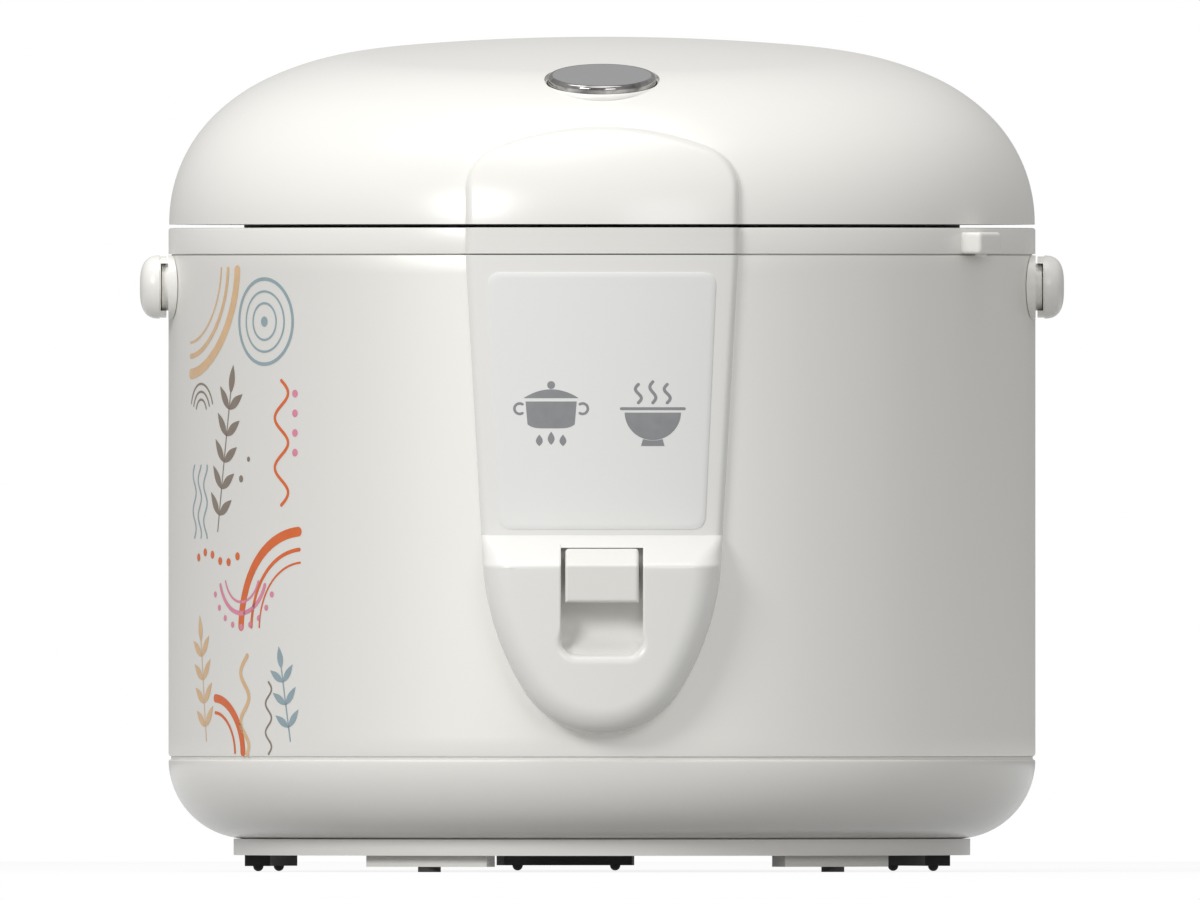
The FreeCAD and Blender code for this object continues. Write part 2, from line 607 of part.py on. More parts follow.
def base_pieces():
    """Base housing, bottom plate, feet and the screws that hold them together."""
    bowl_centre = s.body_radius - s.bowl_radius
    inside = s.bowl_radius - s.housing_wall
    neck_inner = s.body_radius - s.hem_width
    neck_foot = jacket_foot - s.neck_depth
    drop = bowl_top - neck_foot
    wall_there = bowl_centre + (inside.squared() - drop.squared()).root()
    shell = turned("base_shell", [
        (housing_inner, plate_top),
        (bowl_centre, plate_top, s.bowl_radius),
        (s.body_radius, bowl_top),
        (s.body_radius - s.groove_depth, bowl_top),
        (s.body_radius - s.groove_depth, jacket_foot),
        (neck_inner, jacket_foot),
        (neck_inner, neck_foot),
        (wall_there, neck_foot, -inside),
        (bowl_centre, plate_top + s.housing_wall),
        (housing_inner, plate_top + s.housing_wall),
    ])
    post = rod("liner_post", s.post_radius, s.liner_floor - plate_top, y=-post_place, z=plate_top)
    posts = [around("liner_post_%d" % i, post, s.post_turn + i * FULL_TURN / POSTS) for i in range(POSTS)]
    screw_hole = rod("screw_hole", s.screw_shank + s.still_gap, s.screw_length, y=-screw_place,
                     z=plate_under)
    screw_turns = [s.screw_turn + i * FULL_TURN / SCREWS for i in range(SCREWS)]
    holes = [around("screw_hole_%d" % i, screw_hole, a) for i, a in enumerate(screw_turns)]
    whole = join("base_whole", shell, *posts)
    finish("base_housing", cut("base_housing", whole, *holes))

    foot_outline = tube_outline(foot_inner, foot_outer, s.pad_height, plate_under)
    foot = turned("foot_sector", foot_outline, s.foot_span)
    turn(place(foot), Vector(0, 0, 1), -90)
    plate = turned("plate_disc", [
        (NOTHING, plate_under),
        (plate_radius - s.plate_rim, plate_under),
        (plate_radius - s.plate_rim, s.foot_height),
        (plate_radius, s.foot_height),
        (plate_radius, plate_top),
        (NOTHING, plate_top),
    ])
    foot_turns = [s.foot_turn + i * FULL_TURN / FEET for i in range(FEET)]
    front_turns = [foot_turns[-1], foot_turns[0]]
    rear_turns = foot_turns[1:-1]
    moulded = [around("moulded_foot_%d" % i, foot, a) for i, a in enumerate(front_turns)]
    slots = []
    for i in range(-2, 3):
        middle_y = s.vent_slot_length + s.vent_slot_pitch * i
        near, far = middle_y - s.vent_slot_width / 2, middle_y + s.vent_slot_width / 2
        slots.append(block("cooling_slot_%d" % (i + 2),
                           (-s.vent_slot_length / 2, near, plate_under - s.cut_margin),
                           (s.vent_slot_length / 2, far, plate_top + s.cut_margin)))
    finish("bottom_plate", cut("bottom_plate", join("plate_whole", plate, *moulded), *holes, *slots))

    foot_middle = (foot_inner + foot_outer) / 2
    pad = rod("pad", s.pad_radius, s.pad_height, y=-foot_middle)
    pads = [around("pad_%d" % i, pad, a) for i, a in enumerate(front_turns)]
    finish("front_foot_pads", join("front_foot_pads", *pads))

    nub = ball("nub", s.pad_height, NOTHING, -foot_middle, s.pad_height)
    pieces = []
    for i, a in enumerate(rear_turns):
        pieces.append(around("rubber_foot_%d" % i, foot, a))
        pieces.append(around("nub_left_%d" % i, nub, a + s.nub_spread))
        pieces.append(around("nub_right_%d" % i, nub, a - s.nub_spread))
    finish("rubber_feet", join("rubber_feet", *pieces))

    head = rod("screw_top", s.screw_head, s.plate_wall - s.still_gap, y=-screw_place,
               z=s.foot_height + s.still_gap)
    shank = rod("screw_stem", s.screw_shank, s.screw_length - s.still_gap, y=-screw_place, z=plate_under)
    screw = join("screw", head, shank)
    screws = [around("screw_%d" % i, screw, a) for i, a in enumerate(screw_turns)]
    finish("bottom_screws", join("bottom_screws", *screws))


def jacket_and_ring():
    """The sheet jacket with its openings, and the rim ring with tongue, hinge knuckles and scoop bracket."""
    hem_inner = s.body_radius - s.hem_width
    sheet_shell = turned("jacket_shell", [
        (hem_inner, jacket_foot),
        (s.body_radius, jacket_foot),
        (s.body_radius, jacket_top),
        (jacket_inner, jacket_top),
        (jacket_inner, jacket_foot + s.jacket_wall),
        (hem_inner, jacket_foot + s.jacket_wall),
    ])
    ear_half = s.pocket_half + s.ear_wall + s.still_gap
    window = block("lever_window",
                   (-ear_half, -tongue_radius, s.pivot_z - s.ear_height),
                   (ear_half, pivot_y, s.pivot_z + s.ear_height / 2 + s.running_gap))
    inlet_room = s.inlet_wall + s.still_gap
    inlet_side = s.inlet_half + inlet_room
    inlet_tall = s.inlet_mouth / 2 + inlet_room
    inlet_window = block("inlet_window",
                         (-inlet_side, liner_inner, s.inlet_z - inlet_tall),
                         (inlet_side, inlet_face, s.inlet_z + inlet_tall))
    swivel_hole = rod("swivel_hole", s.boss_stem + s.still_gap, FAR * 2, -FAR, s.swivel_y, swivel_z, X_AXIS)
    lamp_holes = [rod("lamp_hole_%d" % i, s.lamp_radius + s.still_gap, FAR, s.lamp_x * side, -FAR,
                      s.lamp_z, Y_AXIS) for i, side in enumerate((-1, 1))]
    finish("outer_jacket", cut("outer_jacket", sheet_shell, window, inlet_window, swivel_hole, *lamp_holes))

    skirt_outer = jacket_inner - s.still_gap
    lip_outer = ring_inner + s.ring_lip_wall
    ring_shell = turned("ring_shell", [
        (s.body_radius, jacket_top + s.ring_rebate),
        (s.body_radius, ring_top - s.edge_break),
        (s.body_radius - s.edge_break, ring_top),
        (ring_inner, ring_top),
        (ring_inner, ring_top - s.ring_lip),
        (lip_outer, ring_top - s.ring_lip),
        (lip_outer, ring_top - s.ring_wall),
        (skirt_outer - s.skirt_wall, ring_top - s.ring_wall),
        (skirt_outer - s.skirt_wall, jacket_top - s.skirt_height),
        (skirt_outer, jacket_top - s.skirt_height),
        (skirt_outer, jacket_top),
        (s.body_radius - s.ring_rebate, jacket_top),
        (s.body_radius - s.ring_rebate, jacket_top + s.ring_rebate),
    ])
    band_foot = jacket_top + s.ring_rebate
    band = turned("ring_band", tube_outline(jacket_inner, tongue_radius, band_foot, ring_top))
    front = block("ring_front", (-s.tongue_half, -FAR, jacket_top), (s.tongue_half, NOTHING, ring_top))
    tongue = overlap("ring_tongue_plain", band, front)
    tongue = rounded("ring_tongue", tongue, s.panel_edge, on_raised_side)

    barrel = rod("ring_knuckle", s.knuckle_radius, s.hinge_half * 2, -s.hinge_half, hinge_y, hinge_z, X_AXIS)
    room_half = s.knuckle_half + s.running_gap
    lid_room = rod("ring_knuckle_room", s.knuckle_radius + s.running_gap, room_half * 2, -room_half,
                   hinge_y, hinge_z, X_AXIS)
    pin_bore = rod("ring_pin_bore", s.pin_radius + s.still_gap, FAR, -FAR / 2, hinge_y, hinge_z, X_AXIS)
    slot = latch_slot("ring_latch_slot", ring_top - s.ring_lip, ring_top + s.cut_margin)

    half_scoop = s.scoop_width / 2
    scoop_low = jacket_top + s.ring_rebate
    bracket = block("scoop_block", (-half_scoop, -scoop_reach, scoop_low),
                    (half_scoop, s.skirt_wall - s.body_radius, scoop_low + s.scoop_height))
    bracket = rounded("scoop_rounded", bracket, s.scoop_rounding,
                      lambda e: middle(e).y < -(s.body_radius.number + s.tongue_rise.number))
    peg = rod("scoop_peg_rod", s.scoop_peg, s.scoop_height, y=-(scoop_reach - s.scoop_peg * 2),
              z=scoop_low - s.scoop_peg / 2)
    bracket = around("scoop_turned", join("scoop_whole", bracket, peg), s.scoop_turn)
    whole = join("ring_whole", ring_shell, tongue, barrel, bracket)
    finish("rim_ring", cut("rim_ring", whole, lid_room, pin_bore, slot, swivel_hole))


def on_raised_side(edge):
    """True on the two long upright outer edges of a raised strip at the front."""
    box = edge.BoundBox
    point = middle(edge)
    upright = box.ZLength > max(box.XLength + box.YLength, s.tongue_rise.number)
    return upright and math.hypot(point.x, point.y) > tongue_radius.number - s.tongue_rise.number / 2


def latch_slot(name, low, high):
    """The slot that the latch passes through."""
    half = s.latch_width / 2 + s.running_gap * 3
    return block(name, (-half, latch_y - s.latch_slot, low), (half, latch_y + s.latch_slot, high))


def cooking_pieces():
    """Liner, keep-warm band, heater plate with its legs, terminals and fuse, and the inner pot."""
    liner_outer = liner_inner + s.jacket_wall
    finish("inner_liner", turned("inner_liner", [
        (liner_hole, s.liner_floor),
        (liner_outer, s.liner_floor),
        (liner_outer, ring_top - s.ring_wall),
        (liner_inner, ring_top - s.ring_wall),
        (liner_inner, s.liner_floor + s.jacket_wall),
        (liner_hole, s.liner_floor + s.jacket_wall),
    ]))
    band_inner = liner_outer + s.still_gap
    finish("warming_band", turned("warming_band", tube_outline(
        band_inner, band_inner + s.band_wall, s.band_level, s.band_level + s.band_height)))
    finish("heater_plate", turned("heater_plate", [
        (s.heater_hole, heater_under),
        (heater_radius, heater_under),
        (heater_radius, heater_top - s.heater_edge),
        (heater_radius - s.heater_edge, heater_top),
        (s.heater_hole, heater_top),
    ]))
    leg_foot = s.liner_floor + s.jacket_wall
    leg = rod("leg", s.leg_radius, heater_under - leg_foot, y=-leg_place, z=leg_foot)
    legs = [around("leg_%d" % i, leg, s.post_turn + i * FULL_TURN / POSTS) for i in range(POSTS)]
    finish("heater_legs", join("heater_legs", *legs))
    terminal = rod("terminal", s.terminal_radius, s.terminal_length, y=-terminal_place,
                   z=heater_under - s.terminal_length)
    terminals = [around("terminal_%d" % i, terminal, s.terminal_turn * side + FULL_TURN / 2)
                 for i, side in enumerate((-1, 1))]
    finish("heater_terminals", join("heater_terminals", *terminals))
    finish("thermal_fuse", rod("thermal_fuse", s.fuse_radius, s.fuse_length, -s.fuse_length / 2, s.fuse_place,
                               heater_under - s.fuse_radius - s.still_gap, X_AXIS))

    pot_inner = pot_radius - s.pot_wall
    flat = pot_radius - s.pot_corner
    pot_top = ring_top + s.pot_flange_height
    finish("inner_pot", turned("inner_pot", [
        (NOTHING, s.pot_bottom),
        (flat, s.pot_bottom, s.pot_corner),
        (pot_radius, s.pot_bottom + s.pot_corner),
        (pot_radius, ring_top),
        (pot_flange, ring_top),
        (pot_flange, pot_top),
        (pot_inner, pot_top),
        (pot_inner, s.pot_bottom + s.pot_corner, -(s.pot_corner - s.pot_wall)),
        (flat, s.pot_bottom + s.pot_wall),
        (NOTHING, s.pot_bottom + s.pot_wall),
    ]))


def biarc(start, start_way, end, end_way):
    """Two arcs that join two points and meet both given directions smoothly."""
    gap = end - start
    ways = start_way + end_way
    spread = 2 * (1 - start_way.dot(end_way))
    along = gap.dot(ways)
    reach = (math.sqrt(along ** 2 + spread * gap.dot(gap)) - along) / spread
    knots = [start + start_way * reach, end - end_way * reach]
    joint = (knots[0] + knots[1]) * 0.5
    arcs = []
    for a, knot, b in ((start, knots[0], joint), (joint, knots[1], end)):
        chord_middle = (a + b) * 0.5
        half = (b - a).Length / 2
        rise = knot - chord_middle
        sagitta = half * math.tan(math.atan2(rise.Length, half) / 2)
        arcs.append(Part.Arc(a, chord_middle + rise.normalize() * sagitta, b).toShape())
    return arcs


def coil(name, radius, wire, turns, low, high):
    """A spring of round wire about the Z axis between two heights, on pairs of arcs for each half turn."""
    radius, wire, turns = radius.number, wire.number, int(turns.number)
    foot = low + wire
    climb = (high - wire - foot) / (turns * 2 * math.pi)

    def spot(angle):
        return Vector(radius * math.cos(angle), radius * math.sin(angle), foot + climb * angle)

    def way(angle):
        return Vector(-radius * math.sin(angle), radius * math.cos(angle), climb).normalize()

    edges = []
    for i in range(turns * 2):
        a, b = i * math.pi, (i + 1) * math.pi
        edges += biarc(spot(a), way(a), spot(b), way(b))
    ring = Part.Wire([Part.Circle(spot(0), way(0), wire).toShape()])
    shell = Part.BRepOffsetAPI.MakePipeShell(Part.Wire(edges))
    shell.add(ring)
    shell.build()
    shell.makeSolid()
    print(name, "least gap between turns:", round(climb * 2 * math.pi - 2 * wire, 2), "mm")
    thing = doc.addObject("Part::Feature", name)
    thing.Shape = shell.shape()
    return thing


def thermostat_pieces():
    """Sprung cup below the pot, its guide and spring, and the magnet that the lever lifts."""
    guide_inner = s.cup_radius + s.guide_gap
    guide_outer = guide_inner + s.cup_wall
    guide_floor = heater_under - s.guide_depth
    guide_top = heater_top - s.cup_wall * 3
    finish("thermostat_guide", turned("thermostat_guide", [
        (s.guide_hole, guide_floor),
        (guide_outer, guide_floor),
        (guide_outer, heater_under - s.cup_wall),
        (s.guide_flange, heater_under - s.cup_wall),
        (s.guide_flange, heater_under),
        (guide_outer, heater_under),
        (guide_outer, guide_top),
        (guide_inner, guide_top),
        (guide_inner, guide_floor + s.cup_wall),
        (s.guide_hole, guide_floor + s.cup_wall),
    ]))
    cup_inner = s.cup_radius - s.cup_wall
    finish("thermostat_cup", turned("thermostat_cup", [
        (NOTHING, heater_top - s.cup_wall),
        (cup_inner, heater_top - s.cup_wall),
        (cup_inner, heater_top - s.cup_height),
        (s.cup_radius, heater_top - s.cup_height),
        (s.cup_radius, heater_top),
        (NOTHING, heater_top),
    ]))
    spring_low = guide_floor + s.cup_wall
    spring_high = heater_top - s.cup_wall
    finish("thermostat_spring", coil("thermostat_spring", s.coil_radius, s.coil_wire, s.coil_turns,
                                     spring_low.number, spring_high.number))
    lever_top = s.swing_z + s.swing_thick / 2 + s.still_gap
    finish("magnet_plunger", turned("magnet_plunger", [
        (NOTHING, lever_top),
        (s.stem_radius, lever_top),
        (s.stem_radius, s.magnet_top - s.magnet_height),
        (s.magnet_radius, s.magnet_top - s.magnet_height),
        (s.magnet_radius, s.magnet_top),
        (NOTHING, s.magnet_top),
    ]))


def linkage_pieces():
    """Cooking lever, link rod, magnet lever, their pins and bracket, the switch and the terminal block."""
    slope_rise = (s.bulge_top - s.bulge_front) / (bulge_reach - tongue_radius)
    tab_crest_y = -(bulge_reach - (s.tab_top - s.bulge_front) / slope_rise)
    tab_front = -bulge_reach
    tab = prism("lever_tab", "YZ_Plane", [
        (tab_front, s.tab_bottom),
        (tab_front + s.tab_wall, s.tab_bottom),
        (tab_front + s.tab_wall, s.pivot_z - s.arm_height / 2),
        (tab_crest_y + s.tab_wall, s.pivot_z - s.arm_height / 2),
        (tab_crest_y + s.tab_wall, s.pivot_z + s.arm_height / 2),
        (tab_crest_y, s.tab_top),
        (tab_front, s.bulge_front),
    ], s.tab_width)
    front = tab_front.number
    tab = rounded("lever_tab_rounded", tab, s.tab_rounding,
                  lambda e: e.BoundBox.YMax < front + CLOSE or e.BoundBox.ZMin > s.bulge_front.number - CLOSE
                  and abs(abs(middle(e).x) - s.tab_width.number / 2) < CLOSE)
    arm = block("lever_arm", (-s.arm_width / 2, tab_crest_y, s.pivot_z - s.arm_height / 2),
                (s.arm_width / 2, pivot_y, s.pivot_z + s.arm_height / 2))
    hub = rod("lever_hub", s.hub_radius, s.pocket_half * 2 - s.running_gap * 2,
              -s.pocket_half + s.running_gap, pivot_y, s.pivot_z, X_AXIS)
    link_y = pivot_y - s.link_reach
    link_x = s.arm_width / 2 + s.running_gap * 2
    stub = rod("lever_stub", s.pin_radius, s.link_thick + s.running_gap * 5, s.arm_width / 2 - s.cut_margin,
               link_y, s.pivot_z, X_AXIS)
    link_room = block("link_room", (s.arm_width / 2, link_y - s.link_width, s.pivot_z - s.hub_radius * 2),
                      (s.pocket_half, pivot_y - s.hub_radius + s.loose_gap, s.pivot_z + s.hub_radius * 2))
    bore = rod("lever_bore", s.pin_radius + s.running_gap, FAR, -FAR / 2, pivot_y, s.pivot_z, X_AXIS)
    body = cut("lever_body", join("lever_whole", tab, arm, hub), link_room, bore)
    finish("cook_lever", join("cook_lever", body, stub))
    pin_half = s.pocket_half + s.ear_wall
    finish("lever_pin", rod("lever_pin", s.pin_radius, pin_half * 2, -pin_half, pivot_y, s.pivot_z, X_AXIS))

    strip = block("link_strip", (link_x, link_y - s.link_width / 2, s.swing_z - s.link_width / 2),
                  (link_x + s.link_thick, link_y + s.link_width / 2, s.pivot_z + s.link_width / 2))
    eyes = [rod("link_eye_%d" % i, s.pin_radius + s.loose_gap, s.link_thick * 3, link_x - s.link_thick,
                link_y, z, X_AXIS) for i, z in enumerate((s.swing_z, s.pivot_z))]
    finish("link_rod", cut("link_rod", strip, *eyes))

    left = s.swing_side - s.swing_width / 2
    right = s.swing_side + s.swing_width / 2
    bar = block("swing_bar", (left, link_y - s.link_width / 2, s.swing_z - s.swing_thick / 2),
                (right, s.swing_tail, s.swing_z + s.swing_thick / 2))
    swing_low, swing_high = s.swing_z - s.swing_thick / 2, s.swing_z + s.swing_thick / 2
    end_block = block("swing_end", (right - s.cut_margin, link_y - s.link_width / 2, swing_low),
                      (link_x - s.running_gap, link_y + s.link_width / 2, swing_high))
    swing_stub = rod("swing_stub", s.pin_radius, link_x + s.link_thick * 2 - right, right,
                     link_y, s.swing_z, X_AXIS)
    knuckle = rod("swing_knuckle", s.hub_radius, s.swing_width, left, swing_y, s.swing_z, X_AXIS)
    swing_bore = rod("swing_bore", s.pin_radius + s.running_gap, FAR, -FAR / 2, swing_y, s.swing_z, X_AXIS)
    whole = join("swing_whole", bar, end_block, knuckle)
    finish("magnet_lever", join("magnet_lever", cut("swing_bored", whole, swing_bore), swing_stub))

    ear_top = s.swing_z + s.hub_radius
    reach = s.bracket_length / 2
    outer_left = left - s.running_gap - s.bracket_wall
    outer_right = right + s.running_gap + s.bracket_wall
    foot = block("bracket_foot", (outer_left, swing_y - reach, plate_top),
                 (outer_right, swing_y + reach, plate_top + s.bracket_wall))
    ears = [block("bracket_ear_%d" % i, (x, swing_y - s.hub_radius, plate_top),
                  (x + s.bracket_wall, swing_y + s.hub_radius, ear_top))
            for i, x in enumerate((outer_left, right + s.running_gap))]
    hole = rod("bracket_hole", s.pin_radius + s.still_gap, FAR, -FAR / 2, swing_y, s.swing_z, X_AXIS)
    finish("swing_bracket", cut("swing_bracket", join("bracket_whole", foot, *ears), hole))
    finish("swing_pin", rod("swing_pin", s.pin_radius, outer_right - outer_left, outer_left,
                            swing_y, s.swing_z, X_AXIS))

    half_switch = s.switch_width / 2
    case = block("switch_case", (s.swing_side - half_switch, switch_y - s.switch_length / 2, plate_top),
                 (s.swing_side + half_switch, switch_y + s.switch_length / 2, plate_top + s.switch_height))
    plunger_top = s.swing_z - s.swing_thick / 2 - s.loose_gap
    plunger_height = plunger_top - plate_top
    plunger = rod("switch_plunger", s.pin_radius, plunger_height, s.swing_side, switch_y, plate_top)
    finish("cook_switch", join("cook_switch", case, plunger))

    low = (block_x - s.block_length / 2, block_y - s.block_width / 2, plate_top)
    high = (block_x + s.block_length / 2, block_y + s.block_width / 2, plate_top + s.block_height)
    wells = [rod("terminal_well_%d" % i, s.screw_head, s.block_height, block_x + s.block_length / 4 * side,
                 block_y, plate_top + s.block_height / 2) for i, side in enumerate((-1, 0, 1))]
    finish("terminal_block", cut("terminal_block", block("terminal_case", low, high), *wells))


def panel_outline():
    """The front panel's outline: tapering sides, round flanks and a round tip, in (x, z)."""
    drop = s.panel_turn - s.panel_tip - s.tip_radius
    half, tip = s.panel_half, s.tip_radius
    flank = (half.squared() + drop.squared() - tip.squared()) / ((half - tip) * 2)
    spread = flank - tip
    joint_x = (flank - half) / spread * flank - (flank - half)
    joint_z = s.panel_turn - drop / spread * flank
    return [
        (-s.tongue_half, jacket_top),
        (-half, s.panel_turn, flank),
        (-joint_x, joint_z, tip),
        (joint_x, joint_z, flank),
        (half, s.panel_turn),
        (s.tongue_half, jacket_top),
    ]


def panel_pieces():
    """Front panel with its bulge and finger pocket, its label, and the indicator board behind it."""
    face = prism("panel_face", "XZ_Plane", panel_outline(), FAR * 2)
    sheet_foot = s.bulge_top - s.tongue_rise
    sheet_ring = turned("panel_ring", tube_outline(jacket_outer, tongue_radius, sheet_foot, jacket_top))
    front = block("panel_front", (-FAR, -FAR, NOTHING), (FAR, -FAR / 2, FAR))
    plain = overlap("panel_plain", face, sheet_ring, front)
    upper = rounded("panel_upper", plain, s.panel_edge, on_raised_side)

    swell = turned("bulge_ring", [
        (jacket_outer, s.panel_tip - s.tongue_rise),
        (bulge_low_reach, s.panel_tip - s.tongue_rise),
        (bulge_reach, s.bulge_front),
        (tongue_radius, s.bulge_top),
        (jacket_outer, s.bulge_top),
    ])
    lump = overlap("bulge_plain", face, swell, front)

    def on_flank(edge):
        """True on the long curved edge between the bulge's front and its flanks."""
        point = middle(edge)
        far_out = math.hypot(point.x, point.y) > bulge_low_reach.number - s.running_gap.number
        box = edge.BoundBox
        return far_out and box.ZMax < s.bulge_front.number + CLOSE and box.ZLength > s.tongue_rise.number

    lump = rounded("bulge", lump, s.bulge_edge, on_flank)

    inner_low = s.pocket_bottom + s.scoop_radius
    half, corner = s.pocket_half, s.pocket_corner
    mouth = prism("pocket_mouth", "XZ_Plane", [
        (-half, s.pocket_top),
        (-half, s.pocket_bottom + corner, corner),
        (-half + corner, s.pocket_bottom),
        (half - corner, s.pocket_bottom, corner),
        (half, s.pocket_bottom + corner),
        (half, s.pocket_top),
    ], FAR * 2)
    depth = prism("pocket_depth", "YZ_Plane", [
        (-FAR, s.pocket_bottom),
        (-pocket_floor - s.scoop_radius, s.pocket_bottom, s.scoop_radius),
        (-pocket_floor, inner_low),
        (-pocket_floor, s.pocket_top),
        (-FAR, s.pocket_top),
    ], FAR)
    pocket = overlap("pocket", mouth, depth)
    arm_room = block("arm_room",
                     (-half, -pocket_floor - s.scoop_radius, s.pivot_z - s.arm_height - s.tab_wall),
                     (half, pivot_y, s.pivot_z + s.arm_height))
    ears = [block("lever_ear_%d" % i, (x, -tongue_radius, s.pivot_z - s.ear_height / 2),
                  (x + s.ear_wall, pivot_y + s.ear_tail, s.pivot_z + s.ear_height / 2))
            for i, x in enumerate((-half - s.ear_wall, half))]
    pin_hole = rod("ear_hole", s.pin_radius + s.still_gap, FAR, -FAR / 2, pivot_y, s.pivot_z, X_AXIS)
    whole = cut("panel_pocketed", join("panel_whole", upper, lump), pocket, arm_room)
    finish("front_panel", cut("front_panel", join("panel_eared", whole, *ears), pin_hole))

    film = prism("label_face", "XZ_Plane", [
        (-s.label_top_half, label_top),
        (-s.label_bottom_half, s.label_bottom),
        (s.label_bottom_half, s.label_bottom),
        (s.label_top_half, label_top),
    ], FAR * 2)
    film_inner = tongue_radius + s.still_gap / 4
    film_outer = film_inner + s.label_film
    film_ring = turned("label_ring", tube_outline(film_inner, film_outer, s.label_bottom, label_top))
    finish("panel_label", overlap("panel_label", film, film_ring, front))

    board_front = board_y - s.board_wall
    finish("indicator_board", block("indicator_board",
                                    (-s.board_half, board_front, s.lamp_z - s.board_height / 2),
                                    (s.board_half, board_y, s.lamp_z + s.board_height / 2)))
    mid_sheet = s.body_radius - s.jacket_wall / 2
    lamp_front = (mid_sheet.squared() - (s.lamp_x + s.lamp_radius).squared()).root()
    lamps = [rod("lamp_%d" % i, s.lamp_radius, lamp_front + board_front, s.lamp_x * side, -lamp_front,
                 s.lamp_z, Y_AXIS) for i, side in enumerate((-1, 1))]
    finish("indicator_lamps", join("indicator_lamps", *lamps))


def dome(name, offset):
    """The lid's dome, grown outward by an offset and tilted forward about the seam."""
    def along(radius, first, last):
        return radius * (first.cosine() - last.cosine()), radius * (last.sine() - first.sine())

    level = as_size(0)
    r, h = lid_radius + offset, s.dome_start
    corners = [(NOTHING, -s.dome_depth), (r, -s.dome_depth)]
    for radius, first, last in ((s.shoulder_radius, level, s.shoulder_turn),
                                (s.haunch_radius, s.shoulder_turn, s.haunch_turn),
                                (s.brow_radius, s.haunch_turn, s.brow_turn)):
        corners.append((r, h, radius + offset))
        inward, upward = along(radius + offset, first, last)
        r, h = r - inward, h + upward
    crown = r / s.brow_turn.cosine()
    corners.append((r, h, crown))
    corners.append((NOTHING, h + crown * (as_size(1) - s.brow_turn.sine())))
    body = turned(name, corners)
    return turn(place(body, z=seam), Vector(1, 0, 0), s.lid_tilt)


def on_button(name, corners):
    """A piece turned about the button's own axis; height zero is the button's top."""
    return turn(place(turned(name, corners), y=button_y, z=button_z), Vector(1, 0, 0), s.button_tilt)


